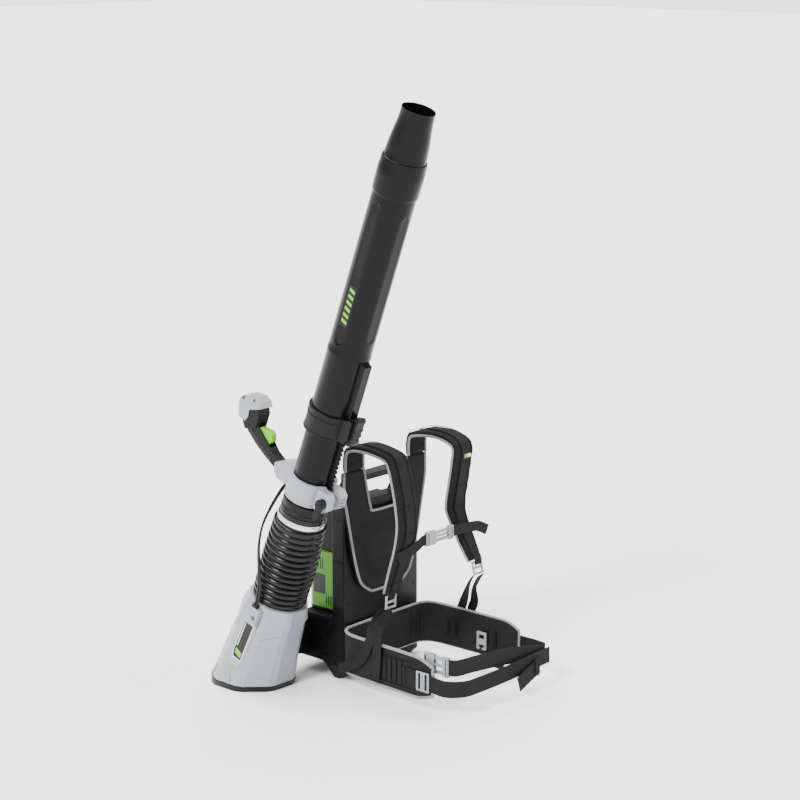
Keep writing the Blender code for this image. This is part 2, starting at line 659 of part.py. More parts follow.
def handle(boom):
    """The grip, its head, the grey cover on the head, the trigger and the power button."""
    shaft = solid("handle_grip", prism_x(grip_outline(), -GRIP_HALF_WIDTH, GRIP_HALF_WIDTH), "black_plastic", boom)
    head = [(0.2090, 0.5600), (0.2290, 0.5830), (0.2360, 0.6120), (0.2260, 0.6250), (0.2000, 0.6330)]
    head += [(0.1850, 0.6230), (0.1775, 0.6100), (0.1780, 0.5780), (0.1900, 0.5680)]
    combine(shaft, "UNION", prism_x(head, -HEAD_HALF_WIDTH + 0.0023, HEAD_HALF_WIDTH - 0.0023))
    slot = [(0.1850, 0.5900), (0.1650, 0.5860), (0.1250, 0.5640), (0.1370, 0.5410), (0.1540, 0.5500), (0.1800, 0.5620)]
    button_hole = box((HEAD_HALF_WIDTH - 0.0075, 0.1870, 0.5900), (HEAD_HALF_WIDTH + 0.01, 0.2030, 0.6060))
    combine(shaft, "DIFFERENCE", prism_x(slot, -0.0078, 0.0078), button_hole)
    cover = [(0.1770, 0.6260), (0.1860, 0.6360), (0.2020, 0.6420), (0.2330, 0.6330), (0.2430, 0.6200)]
    cover += [(0.2420, 0.6060), (0.2330, 0.5800), (0.2120, 0.5780), (0.2060, 0.5920), (0.2080, 0.6080)]
    cap = solid("head_cover", prism_x(cover, -HEAD_HALF_WIDTH, HEAD_HALF_WIDTH), "grey_plastic", boom)
    wide = HEAD_HALF_WIDTH - 0.0023 + GAP
    head_room = [(0.1000, 0.5400), (0.2090 + 0.0004, 0.5600), (0.2293, 0.5829), (0.2364, 0.6121)]
    head_room += [(0.2262, 0.6254), (0.2000, 0.6334), (0.1848, 0.6233), (0.1500, 0.6200)]
    combine(cap, "DIFFERENCE", prism_x(head_room, -wide, wide))
    place = (0, *TRIGGER_PIVOT)
    lever = [(0.1770, 0.5700), (0.1760, 0.5790), (0.1720, 0.5820), (0.1450, 0.5860), (0.1370, 0.5820)]
    lever += [(0.1310, 0.5680), (0.1390, 0.5550), (0.1480, 0.5570)]
    solid("trigger", prism_x(lever, -0.0072, 0.0072), "green_plastic", boom, origin=place)
    outline = [(0.1875, 0.5905), (0.2025, 0.5905), (0.2025, 0.6055), (0.1875, 0.6055)]
    button = prism_x(outline, HEAD_HALF_WIDTH - 0.0050, HEAD_HALF_WIDTH - 0.0003)
    solid("power_button", button, "black_plastic", boom, origin=(HEAD_HALF_WIDTH, 0.195, 0.598))


def channel_angles():
    """Evenly spaced angles, with close pairs at the walls of the rail channel at the front."""
    front = -math.pi / 2
    walls = [front + math.radians(d) for d in (-13.5, -10.5, 0, 10.5, 13.5)]
    count = 22
    start = math.radians(28)
    turn = 2 * math.pi - 2 * start
    return walls + [front + start + turn * k / count for k in range(count + 1)]


def channel_radius(angle, base, raised):
    """A radius that steps out at the rail channel to a flat top."""
    away = abs((angle + math.pi / 2 + math.pi) % (2 * math.pi) - math.pi)
    return raised / math.cos(away) if raised > base and away < math.radians(12) else base


def front_tube(boom):
    """Slides over the rear tube; a channel along its front clears the rail up to a stepped ring."""
    outer = [(FRONT_TUBE_START, 0.0475, 0.0605), (CHANNEL_END, 0.0475, 0.0605), (CHANNEL_END + 0.006, 0.0482, 0.0482)]
    outer += [(CHANNEL_END + 0.012, 0.0482, 0.0482), (CHANNEL_END + 0.014, 0.0470, 0.0470)]
    outer += [(1.10, 0.0466, 0.0466), (FRONT_TUBE_END, 0.0460, 0.0460)]
    inner = [(FRONT_TUBE_END, 0.0435, 0.0435), (0.932, FRONT_TUBE_BORE, FRONT_TUBE_BORE)]
    inner.append((CHANNEL_END - 0.002, FRONT_TUBE_BORE, FRONT_TUBE_BORE))
    inner += [(CHANNEL_END - 0.003, FRONT_TUBE_BORE, 0.0580), (FRONT_TUBE_START, FRONT_TUBE_BORE, 0.0580)]
    sections = [
        [at_station(a, channel_radius(a, base, raised), s) for s, base, raised in outer + inner]
        for a in channel_angles()
    ]
    solid("front_tube", swept(sections, closed=True), "tube_plastic", boom)


def tube_collar(boom):
    ring = open_ring(0.0478, 0.0520, COLLAR_BOTTOM, COLLAR_TOP, math.radians(17))
    collar = solid("tube_collar", ring, "black_plastic", boom)
    side = [(-0.0460, 0.676), (-0.0460, 0.724), (-0.0660, 0.733), (-0.0745, 0.733), (-0.0745, 0.690), (-0.0660, 0.676)]
    lugs = [prism_x(side, x - 0.0035, x + 0.0035) for x in (-0.0175, 0.0175)]
    clear = turned([(0, 0.66), (0.0478, 0.66), (0.0478, 0.74), (0, 0.74)])
    combine(collar, "UNION", *lugs)
    combine(collar, "DIFFERENCE", clear)


def collar_latch(boom):
    """The sprung rocker between the collar's lugs that holds the tube's length on the rail."""
    outline = [(-0.0618, 0.735), (-0.0800, 0.742), (-0.0850, 0.736), (-0.0820, 0.720), (-0.0845, 0.712)]
    outline += [(-0.0810, 0.706), (-0.0838, 0.698), (-0.0800, 0.692), (-0.0825, 0.684), (-0.0790, 0.676)]
    outline += [(-0.0660, 0.672), (-0.0618, 0.690)]
    place = (0, -0.0680, 0.728)
    solid("collar_latch", prism_x(outline, -0.0136, 0.0136), "black_plastic", boom, origin=place)


def nozzle(boom):
    outer = [(0.0462 + GAP, NOZZLE_BOTTOM), (0.0478, NOZZLE_BOTTOM), (0.0492, NOZZLE_BOTTOM + 0.004)]
    outer += [(0.0496, 1.270), (0.0490, 1.303), (0.0476, 1.3075), (0.0446, 1.3095), (0.0440, 1.325)]
    outer += [(0.0415, 1.350), (0.0378, 1.378), (0.0358, 1.398), (0.0358, NOZZLE_TIP)]
    inner = [(0.0336, NOZZLE_TIP), (0.0336, 1.398), (0.0356, 1.376), (0.0392, 1.350), (0.0418, 1.322)]
    inner += [(0.0430, FRONT_TUBE_END + 0.001), (0.0462 + GAP, FRONT_TUBE_END + 0.001)]
    solid("nozzle", turned(outer + inner), "tube_plastic", boom)


# ---------------------------------------------------------------- harness
def back_pad():
    half = [(0.038, 0.1965), (0.053, 0.2005), (0.080, 0.2210), (0.095, 0.2560), (0.109, 0.3090)]
    half += [(0.126, 0.3885), (0.136, 0.4385), (0.136, 0.4880), (0.072, 0.4880), (0.060, 0.4335)]
    half += [(0.050, 0.3955), (0.040, 0.3845)]
    outline = half + [(-x, z) for x, z in reversed(half)]
    front = FRAME_FRONT - 0.0004
    solid("back_pad", prism_y(outline, front - 0.016, front), "fabric")


def shoulder_straps():
    """Each strap rises from the pad's upper corner, arches over the shoulder and comes down in front."""
    right = [(-0.1045, -0.0390, 0.4895), (-0.1040, -0.0385, 0.5165), (-0.1035, -0.0430, 0.5385)]
    right += [(-0.1030, -0.0640, 0.5480), (-0.1030, -0.0980, 0.5500), (-0.1030, -0.1370, 0.5460)]
    right += [(-0.1030, -0.1640, 0.5380), (-0.1030, -0.1755, 0.5185), (-0.1030, -0.1845, 0.4875)]
    right += [(-0.1030, -0.1955, 0.4355), (-0.1030, -0.1995, 0.3855), (-0.1035, -0.1900, 0.3385)]
    right += [(-0.1045, -0.1720, 0.2865), (-0.1060, -0.1545, 0.2315)]
    left = [(0.1060, -0.0390, 0.4895), (0.1060, -0.0385, 0.5165), (0.1055, -0.0440, 0.5360)]
    left += [(0.1040, -0.0640, 0.5450), (0.1000, -0.1010, 0.5515), (0.0980, -0.1370, 0.5520)]
    left += [(0.0960, -0.1720, 0.5450), (0.0960, -0.1885, 0.5290), (0.0960, -0.1850, 0.4920)]
    left += [(0.0960, -0.1770, 0.4440), (0.0960, -0.1695, 0.3990), (0.0965, -0.1740, 0.3710)]
    left += [(0.0990, -0.2010, 0.3145), (0.1030, -0.2195, 0.2755)]

    def width(share):
        return STRAP_WIDTH - max(0.0, share - 0.8) * 0.10

    for name, knots in (("shoulder_strap_right", right), ("shoulder_strap_left", left)):
        solid(name, ribbon(smooth_path(knots, 2), width, STRAP_THICKNESS, across=(1, 0, 0)), "fabric")


def ladder_lock(name, centre, ahead, width):
    """A flat two-slot slide, with ahead along its webbing."""
    long_half = 0.0155
    side_half = width / 2 + 0.0045
    plate = box((-side_half, -long_half, -0.0022), (side_half, long_half, 0.0022))
    ahead = Vector(ahead).normalized()
    side = Vector((1, 0, 0))
    up = side.cross(ahead)
    frame = Matrix((side, ahead, up)).transposed().to_4x4()
    place = Matrix.Translation(centre) @ frame
    lock = solid(name, moved(plate, place), "grey_plastic")
    slots = [box((-width / 2, y - 0.0042, -0.01), (width / 2, y + 0.0042, 0.01)) for y in (-0.0075, 0.0065)]
    combine(lock, "DIFFERENCE", *[moved(slot, place) for slot in slots])


def shoulder_webbing():
    """Under each strap: a slide, the webbing that wraps round the belt's corner to the base, and its tail."""
    ladder_lock("strap_slide_right", (-0.1065, -0.1530, 0.2100), (0.02, 0.06, -1), WEBBING_NARROW)
    ladder_lock("strap_slide_left", (0.1030, -0.2280, 0.2560), (0.02, -0.25, -1), WEBBING_NARROW)
    right = [(-0.1075, -0.1470, 0.1895), (-0.1270, -0.1360, 0.1735), (-0.1520, -0.1400, 0.1525)]
    right += [(-0.1670, -0.1440, 0.1315), (-0.1680, -0.1290, 0.0965), (-0.1670, -0.1020, 0.0705)]
    right += [(-0.1640, -0.0720, 0.0545), (-0.1540, -0.0420, 0.0425)]
    left = [(0.1040, -0.2180, 0.2350), (0.1140, -0.1980, 0.2115), (0.1320, -0.1730, 0.1785)]
    left += [(0.1500, -0.1480, 0.1445), (0.1560, -0.1330, 0.1205), (0.1570, -0.1050, 0.0785)]
    left += [(0.1550, -0.0720, 0.0555), (0.1460, -0.0420, 0.0425)]
    for name, knots, side in (("strap_webbing_right", right, -1), ("strap_webbing_left", left, 1)):
        knots += [(side * 0.1400, -0.0240, 0.0355), (side * 0.1290, -0.0140, 0.0331)]
        knots.append((side * 0.1120, -0.0125, 0.0330))
        webbing(name, smooth_path(knots, 3), lambda share, side=side: wrap_facing(share, side))
    right = [(-0.1080, -0.1590, 0.1870), (-0.1340, -0.1510, 0.1715), (-0.1590, -0.1630, 0.1535)]
    right += [(-0.1725, -0.1720, 0.1315), (-0.1730, -0.1700, 0.0885), (-0.1730, -0.1660, 0.0485)]
    left = [(0.1050, -0.2370, 0.2335), (0.1240, -0.2090, 0.2115), (0.1430, -0.1880, 0.1815)]
    left += [(0.1590, -0.1730, 0.1485), (0.1625, -0.1620, 0.1235), (0.1625, -0.1590, 0.0525)]
    for name, knots, side in (("strap_tail_right", right, -1), ("strap_tail_left", left, 1)):
        webbing(name, smooth_path(knots, 3), lambda share, side=side: (side * share, -max(0.0, 0.5 - share), 0.0))


def wrap_facing(share, side):
    """Which way the flat of the webbing looks: forwards, then outwards, then up into the base's slot."""
    forwards = max(0.0, 0.30 - share)
    upwards = max(0.0, share - 0.70)
    return (side * (share + 0.02) * max(0.0, 1 - 3.4 * upwards), -forwards, 3 * upwards)


def webbing(name, path, facing):
    solid(name, ribbon(path, WEBBING_NARROW - 0.001, WEBBING_THICKNESS, facing=facing), "webbing")


def buckle(female_name, male_name, place, width, reach):
    """A side-release buckle drawn along +X from the female's mouth, then put in place by a matrix."""
    half = width / 2 + 0.003
    inside = half - 0.0022
    prong = half - 0.0062
    female = solid(female_name, moved(box((-0.0290, -0.0050, -half), (0.0, 0.0050, half)), place), "grey_plastic")
    pocket = box((-0.0200, -0.0032, -inside), (0.01, 0.0032, inside))
    slot = box((-0.0262, -0.01, -width / 2), (-0.0226, 0.01, width / 2))
    windows = [box((-0.0150, -0.002, s * half - 0.004), (-0.006, 0.002, s * half + 0.004)) for s in (-1, 1)]
    combine(female, "DIFFERENCE", *[moved(shape, place) for shape in (pocket, slot, *windows)])
    bar = box((reach - 0.0140, -0.0045, -half), (reach, 0.0045, half))
    male = solid(male_name, moved(bar, place), "grey_plastic")
    arms = [
        box((-0.0180, -0.0026, s * prong - 0.0032), (reach - 0.010, 0.0026, s * prong + 0.0032)) for s in (-1, 1)
    ]
    arms.append(box((-0.0160, -0.0020, -0.0025), (reach - 0.010, 0.0020, 0.0025)))
    combine(male, "UNION", *[moved(shape, place) for shape in arms])
    bar_slot = box((reach - 0.0072, -0.01, -width / 2), (reach - 0.0034, 0.01, width / 2))
    combine(male, "DIFFERENCE", moved(bar_slot, place))


def sternum_strap():
    """Webbing across the chest between the two shoulder straps, joined by a buckle."""
    height = 0.3500
    front = -0.2060
    place = Matrix.Translation((-0.0200, front, height))
    buckle("sternum_buckle_female", "sternum_buckle_male", place, WEBBING_NARROW, 0.0600)
    right = [(-0.1330, -0.1990, 0.3240), (-0.1040, -0.2050, 0.3325), (-0.0760, -0.2070, 0.3430)]
    right += [(-0.0620, -0.2062, 0.3490), (-0.0510, front, height)]
    left = [(0.0405, front, height), (0.0550, -0.2050, 0.3495), (0.0740, -0.2040, 0.3480)]
    left += [(0.1010, -0.2040, 0.3460), (0.1310, -0.2050, 0.3425), (0.1620, -0.2070, 0.3280)]
    for name, knots in (("sternum_webbing_right", right), ("sternum_webbing_left", left)):
        shape = ribbon(smooth_path(knots, 3), WEBBING_NARROW - 0.001, WEBBING_THICKNESS, across=(0, 0, 1))
        solid(name, shape, "webbing")


def belt_part(name, knots, thickness, corner):
    """An upright padded band whose height shrinks over its last corner share of the length."""
    path = smooth_path([(x, y, (BELT_BOTTOM + BELT_TOP) / 2) for x, y in knots], 3)

    def width(share):
        near_end = max(0.0, share - 1 + corner) / max(corner, 0.001)
        return BELT_TOP - BELT_BOTTOM - 0.030 * near_end**2

    solid(name, ribbon(path, width, thickness, across=(0, 0, 1)), "fabric")


def hip_belt():
    """The belt's back panel and its two side wings."""
    back = [(-0.118, -0.0385), (-0.060, -0.0373), (0.0, -0.0373), (0.060, -0.0373), (0.118, -0.0385)]
    belt_part("hip_back_panel", back, 0.012, 0)
    right = [(-0.1225, -0.0405), (-0.1400, -0.0520), (-0.1520, -0.0800), (-0.1570, -0.1500)]
    right += [(-0.1600, -0.2300), (-0.1650, -0.3300)]
    left = [(0.1225, -0.0405), (0.1360, -0.0520), (0.1440, -0.0800), (0.1460, -0.1500), (0.1475, -0.2300)]
    left += [(0.1470, -0.3120)]
    belt_part("hip_wing_right", right, 0.010, 0.12)
    belt_part("hip_wing_left", left, 0.010, 0.12)


def hip_webbing():
    """The webbing that closes the belt: one length from the right wing, one from the buckle to the left."""
    height = 0.1170
    place = Matrix.Translation((-0.1530, -0.3230, height)) @ Matrix.Rotation(-math.pi / 2, 4, "Z")
    buckle("hip_buckle_female", "hip_buckle_male", place, WEBBING_WIDE, 0.0380)
    right = [(-0.1674, -0.2400, 0.0785), (-0.1701, -0.2900, 0.0785), (-0.1722, -0.3300, 0.0770)]
    right += [(-0.1650, -0.3620, 0.0720), (-0.1320, -0.3860, 0.0690), (-0.0890, -0.3905, 0.0680)]
    right += [(-0.0090, -0.3960, 0.0705), (0.0810, -0.4010, 0.0760), (0.1470, -0.4020, 0.0790)]
    left = [(-0.1530, -0.3620, height), (-0.1470, -0.3730, height), (-0.1290, -0.3790, 0.1165)]
    left += [(-0.0790, -0.3810, 0.1135), (0.0310, -0.3880, 0.1030), (0.1210, -0.3930, 0.0870)]
    left += [(0.1440, -0.3905, 0.0830), (0.1535, -0.3780, 0.0820), (0.1560, -0.3400, 0.0820), (0.1545, -0.2400, 0.0820)]
    tail = [(0.1040, -0.4058, 0.0650), (0.0680, -0.4068, 0.0530), (0.0300, -0.4080, 0.0400)]
    lengths = (("hip_webbing_right", right), ("hip_webbing_left", left), ("hip_tail", tail))
    for name, knots in lengths:
        shape = ribbon(smooth_path(knots, 3), WEBBING_WIDE - 0.001, WEBBING_THICKNESS, across=(0, 0, 1))
        solid(name, shape, "webbing")
    lock = solid("hip_slide", box((-0.1774, -0.3245, 0.0565), (-0.1738, -0.2890, 0.1005)), "grey_plastic")
    slots = [box((-0.19, y, 0.0600), (-0.15, y + 0.0065, 0.0970)) for y in (-0.3195, -0.3010)]
    combine(lock, "DIFFERENCE", *slots)


def main():
    clear_scene()
    boom = empty("boom_axis", location=BOOM_FOOT, rotation=(LEAN, 0, 0))
    tilting = empty("tilt_pivot", boom, (0, 0, TILT_PIVOT))
    swinging = empty("swing_pivot", boom, (0, 0, SWING_PIVOT))
    back_frame()
    base_block()
    fan_bracket()
    rear_panel()
    controller()
    battery()
    fan_housing(boom)
    base_lip(boom)
    intake_grille(boom)
    fan_duct(boom)
    motor(boom)
    impeller(boom)
    cable_boss(boom)
    control_cables()
    hose(boom, tilting, swinging)
    hose_fittings(boom)
    rear_tube(boom)
    handle_clamp(boom)
    clamp_bolt(boom)
    handle(boom)
    front_tube(boom)
    tube_collar(boom)
    collar_latch(boom)
    nozzle(boom)
    back_pad()
    shoulder_straps()
    shoulder_webbing()
    sternum_strap()
    hip_belt()
    hip_webbing()


main()
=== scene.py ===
import json
import math

import bmesh
import bpy
import numpy as np
from mathutils import Matrix, Vector

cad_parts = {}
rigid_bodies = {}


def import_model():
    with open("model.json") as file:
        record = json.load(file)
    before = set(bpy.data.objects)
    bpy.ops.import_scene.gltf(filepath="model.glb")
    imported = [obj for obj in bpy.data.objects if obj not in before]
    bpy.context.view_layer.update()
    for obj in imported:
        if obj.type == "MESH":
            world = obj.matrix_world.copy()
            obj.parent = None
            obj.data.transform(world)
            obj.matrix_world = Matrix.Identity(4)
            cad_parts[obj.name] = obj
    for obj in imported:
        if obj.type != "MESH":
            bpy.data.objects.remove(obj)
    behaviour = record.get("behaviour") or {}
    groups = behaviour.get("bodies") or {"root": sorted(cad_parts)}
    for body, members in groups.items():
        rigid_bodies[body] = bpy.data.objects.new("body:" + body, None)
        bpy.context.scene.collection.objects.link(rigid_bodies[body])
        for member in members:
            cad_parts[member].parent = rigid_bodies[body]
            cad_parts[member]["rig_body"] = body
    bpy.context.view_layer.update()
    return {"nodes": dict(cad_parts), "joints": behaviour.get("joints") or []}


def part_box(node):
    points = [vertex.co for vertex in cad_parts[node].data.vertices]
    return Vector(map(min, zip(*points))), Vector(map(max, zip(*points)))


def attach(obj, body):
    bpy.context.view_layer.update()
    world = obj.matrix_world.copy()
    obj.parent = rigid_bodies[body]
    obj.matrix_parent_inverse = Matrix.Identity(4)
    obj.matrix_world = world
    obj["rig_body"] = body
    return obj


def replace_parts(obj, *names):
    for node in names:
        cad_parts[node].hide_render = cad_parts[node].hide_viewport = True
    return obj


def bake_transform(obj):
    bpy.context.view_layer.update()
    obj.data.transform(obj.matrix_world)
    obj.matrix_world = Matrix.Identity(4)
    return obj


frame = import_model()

JOINTS = {joint["name"]: joint for joint in frame["joints"]}
BOOM_AXIS = Vector(JOINTS["fan_spin"]["axis"]).normalized()
BOOM_FOOT = Vector(JOINTS["fan_spin"]["pos_m"]) - BOOM_AXIS * 0.08
LEAN = math.atan2(-BOOM_AXIS.y, BOOM_AXIS.z)
BOOM = Matrix.Translation(BOOM_FOOT) @ Matrix.Rotation(LEAN, 4, "X")

ROUND = 96              # steps round a turned shape
PATH_STEPS = 9          # points from knot to knot on a smooth path
PIPING = 0.0030
WEBBING = 0.0016
UP = Vector((0, 0, 1))
ACROSS = Vector((1, 0, 0))
SMOOTH = 32             # edges sharper than this many degrees stay sharp
BEVEL_ANGLE = 28
VOXEL = 0.005           # the remesh of a padded piece before it swells
SEAM_REACH = 0.0055
FOAM_PRESSURE = 4.0
FOAM_FRAMES = 20
WAVE_REPEAT = 0.31      # distance between two waves of the wave texture at scale 1
FRAME_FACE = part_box("back_frame")[0].y
FRAME_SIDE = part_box("back_frame")[1].x
BELT_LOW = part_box("hip_back_panel")[0].z
BELT_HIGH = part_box("hip_back_panel")[1].z


# ---------------------------------------------------------------- materials
class Graph:
    """A short way to add nodes: a value in inputs is either a number or another node's output."""

    def __init__(self, name):
        self.material = bpy.data.materials.new(name)
        self.material.use_nodes = True
        self.tree = self.material.node_tree
        self.shader = self.tree.nodes["Principled BSDF"]

    def add(self, kind, inputs=None, **settings):
        made = self.tree.nodes.new(kind)
        for key, value in settings.items():
            setattr(made, key, value)
        self.feed(made, inputs or {})
        return made

    def feed(self, made, inputs):
        for key, value in inputs.items():
            if isinstance(value, bpy.types.NodeSocket):
                self.tree.links.new(value, made.inputs[key])
            else:
                made.inputs[key].default_value = value

    def noise(self, where, scale, detail=2.0):
        made = self.add("ShaderNodeTexNoise", {"Vector": where, "Scale": scale, "Detail": detail})
        return made.outputs["Fac"]

    def waves(self, where, scale, direction):
        inputs = {"Vector": where, "Scale": scale}
        made = self.add("ShaderNodeTexWave", inputs, bands_direction=direction)
        return made.outputs["Fac"]

    def turned(self, where, angles):
        made = self.add("ShaderNodeMapping", {"Vector": where, "Rotation": angles})
        return made.outputs["Vector"]

    def ranged(self, value, low, high, start=0.0, end=1.0):
        inputs = {"Value": value, "From Min": start, "From Max": end, "To Min": low, "To Max": high}
        return self.add("ShaderNodeMapRange", inputs).outputs["Result"]

    def maths(self, operation, a, b):
        made = self.add("ShaderNodeMath", operation=operation)
        self.feed(made, {0: a, 1: b})
        return made.outputs[0]

    def blend(self, share, low, high):
        made = self.add("ShaderNodeMix", data_type="RGBA")
        self.feed(made, {0: share, 6: low, 7: high})
        return made.outputs[2]

    def bump(self, height, strength, distance):
        inputs = {"Height": height, "Strength": strength, "Distance": distance}
        self.feed(self.shader, {"Normal": self.add("ShaderNodeBump", inputs).outputs["Normal"]})


def shaded(colour, factor):
    return (*[min(1.0, c * factor) for c in colour], 1.0)


def plastic(name, colour, roughness, grain=0.12, wear=1.35, gloss=0.5):
    """Moulded plastic: a fine grain, slow changes of tone and gloss, and paler rubbed edges."""
    g = Graph(name)
    where = g.add("ShaderNodeTexCoord").outputs["Object"]
    slow = g.noise(where, 14.0, 3.0)
    edge = g.ranged(g.add("ShaderNodeNewGeometry").outputs["Pointiness"], 0.0, 1.0, 0.53, 0.62)
    tone = g.blend(slow, shaded(colour, 0.9), shaded(colour, 1.1))
    worn = g.blend(g.maths("MULTIPLY", edge, g.noise(where, 160.0)), tone, shaded(colour, wear))
    g.feed(g.shader, {"Base Color": worn, "Specular IOR Level": gloss})
    g.feed(g.shader, {"Roughness": g.ranged(slow, roughness - 0.05, roughness + 0.07)})
    g.bump(g.noise(where, 1500.0), grain, 0.0004)
    return g.material


def metal(name, colour, roughness):
    """Rolled metal with fine lines along its length."""
    g = Graph(name)
    where = g.add("ShaderNodeTexCoord").outputs["Object"]
    lines = g.add("ShaderNodeMapping", {"Vector": where, "Scale": (60.0, 60.0, 1800.0)}).outputs["Vector"]
    streak = g.noise(lines, 1.0, 4.0)
    g.feed(g.shader, {"Base Color": g.blend(streak, shaded(colour, 0.82), shaded(colour, 1.05))})
    g.feed(g.shader, {"Metallic": 1.0, "Roughness": g.ranged(streak, roughness - 0.06, roughness + 0.12)})
    g.bump(streak, 0.08, 0.0002)
    return g.material


def fabric(name, colour, pitch=0.0016, depth=0.55):
    """Plain woven cover: threads crossing at right angles, with a little loose fibre sheen."""
    g = Graph(name)
    where = g.add("ShaderNodeTexCoord").outputs["Object"]
    scale = WAVE_REPEAT / pitch
    slanted = (0.0, math.radians(45), 0.0)
    first, second = [g.waves(g.turned(where, slanted), scale, axis) for axis in "XZ"]
    third = g.waves(where, scale, "Y")
    weave = g.maths("MULTIPLY", g.maths("ADD", g.maths("MULTIPLY", first, second), third), 0.6)
    slow = g.noise(where, 30.0, 4.0)
    threads = g.blend(weave, shaded(colour, 0.62), shaded(colour, 1.22))
    cloudy = g.blend(g.ranged(slow, 0.0, 0.3), threads, shaded(colour, 1.55))
    g.feed(g.shader, {"Base Color": cloudy, "Roughness": g.ranged(slow, 0.82, 0.98)})
    g.feed(g.shader, {"Sheen Weight": 0.04, "Sheen Roughness": 0.45, "Specular IOR Level": 0.12})
    g.bump(weave, depth, 0.0006)
    return g.material


def webbing_look(name, colour):
    """Flat woven strap: cross ribs and lengthwise cords, from its UV map in metres."""
    g = Graph(name)
    where = g.add("ShaderNodeTexCoord").outputs["UV"]
    ribs = g.waves(where, WAVE_REPEAT / 0.0019, "Y")
    cords = g.waves(where, WAVE_REPEAT / 0.0031, "X")
    weave = g.maths("ADD", g.maths("MULTIPLY", ribs, 0.65), g.maths("MULTIPLY", cords, 0.35))
    slow = g.noise(g.add("ShaderNodeTexCoord").outputs["Object"], 26.0, 3.0)
    threads = g.blend(weave, shaded(colour, 0.6), shaded(colour, 1.25))
    g.feed(g.shader, {"Base Color": g.blend(g.ranged(slow, 0.0, 0.25), threads, shaded(colour, 1.5))})
    g.feed(g.shader, {"Roughness": g.ranged(weave, 0.7, 0.92), "Specular IOR Level": 0.12})
    g.bump(weave, 0.6, 0.0005)
    return g.material


LOOK = {
    "black": plastic("moulded_black", (0.0042, 0.0042, 0.0046), 0.4, gloss=0.15),
    "panel": plastic("moulded_charcoal", (0.012, 0.012, 0.0125), 0.46, gloss=0.15),
    "tube": plastic("satin_black", (0.003, 0.003, 0.0033), 0.24, grain=0.03, gloss=0.12),
    "grey": plastic("cool_grey", (0.25, 0.264, 0.3), 0.36, grain=0.08, wear=1.18, gloss=0.4),
    "buckle": plastic("buckle_grey", (0.22, 0.23, 0.255), 0.36, grain=0.06, wear=1.2, gloss=0.4),
    "green": plastic("battery_green", (0.075, 0.3, 0.003), 0.36, grain=0.1, wear=1.25, gloss=0.35),
    "lime": plastic("trigger_green", (0.11, 0.43, 0.003), 0.34, grain=0.06, wear=1.2, gloss=0.35),
    "rubber": plastic("rubber_black", (0.0028, 0.0028, 0.003), 0.26, grain=0.1, wear=2.2, gloss=0.24),
    "sheath": plastic("cable_sheath", (0.005, 0.005, 0.0054), 0.3, grain=0.05, wear=1.6, gloss=0.25),
    "board": plastic("board_green", (0.01, 0.08, 0.035), 0.42),
    "steel": metal("bright_steel", (0.62, 0.62, 0.63), 0.2),
    "dark_steel": metal("screw_steel", (0.03, 0.03, 0.032), 0.38),
    "aluminium": metal("aluminium", (0.5, 0.51, 0.53), 0.36),
    "fabric": fabric("charcoal_weave", (0.0085, 0.0085, 0.0088)),
    "lining": fabric("charcoal_lining", (0.0105, 0.0105, 0.0108), pitch=0.0024),
    "piping": fabric("piping_grey", (0.2, 0.205, 0.22), pitch=0.0011, depth=0.4),
    "thread": fabric("black_thread", (0.004, 0.004, 0.004), pitch=0.0008),
    "webbing": webbing_look("webbing_charcoal", (0.0105, 0.0105, 0.0108)),
    "label": plastic("label_black", (0.0045, 0.0045, 0.0045), 0.32, grain=0.03, gloss=0.3),
    "pale": plastic("print_pale", (0.62, 0.63, 0.64), 0.42, grain=0.03),
}


# ---------------------------------------------------------------- building blocks
def mesh_object(name, shape, look, smooth=SMOOTH, uvs=None):
    """A shaded mesh in the scene with its finish."""
    points, faces = shape
    mesh = bpy.data.meshes.new(name)
    mesh.from_pydata([tuple(p) for p in points], [], [tuple(f) for f in faces])
    if uvs:
        layer = mesh.uv_layers.new(name="UVMap")
        for loop in mesh.loops:
            layer.data[loop.index].uv = uvs[loop.vertex_index]
    bm = bmesh.new()
    bm.from_mesh(mesh)
    bmesh.ops.recalc_face_normals(bm, faces=bm.faces)
    bm.to_mesh(mesh)
    bm.free()
    mesh.shade_smooth()
    mesh.set_sharp_from_angle(angle=math.radians(smooth))
    mesh.materials.append(LOOK[look])
    obj = bpy.data.objects.new(name, mesh)
    bpy.context.scene.collection.objects.link(obj)
    return obj


def soften(obj, width, segments=2, angle=BEVEL_ANGLE):
    """Rounds the edges that are sharper than angle."""
    step = obj.modifiers.new("rounded", "BEVEL")
    step.width = width
    step.segments = segments
    step.limit_method = "ANGLE"
    step.angle_limit = math.radians(angle)
    step.harden_normals = True
    return obj


def piece(name, shape, look, body, stands_for=(), bevel=0.0, smooth=SMOOTH, uvs=None):
    """A piece that rides one body and may stand for CAD nodes."""
    obj = mesh_object(name, shape, look, smooth, uvs)
    if bevel:
        soften(obj, bevel)
    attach(obj, body)
    if stands_for:
        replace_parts(obj, *stands_for)
    return obj


def carve(obj, *shapes):
    """Cuts each shape out of the object and leaves no helper behind."""
    for shape in shapes:
        tool = mesh_object("tool", shape, "black")
        step = obj.modifiers.new("carve", "BOOLEAN")
        step.operation = "DIFFERENCE"
        step.solver = "EXACT"
        step.object = tool
        bpy.context.view_layer.update()
        graph = bpy.context.evaluated_depsgraph_get()
        made = bpy.data.meshes.new_from_object(obj.evaluated_get(graph))
        obj.modifiers.remove(step)
        obj.data = made
        bpy.data.objects.remove(tool)
    obj.data.shade_smooth()
    obj.data.set_sharp_from_angle(angle=math.radians(SMOOTH))
    return obj


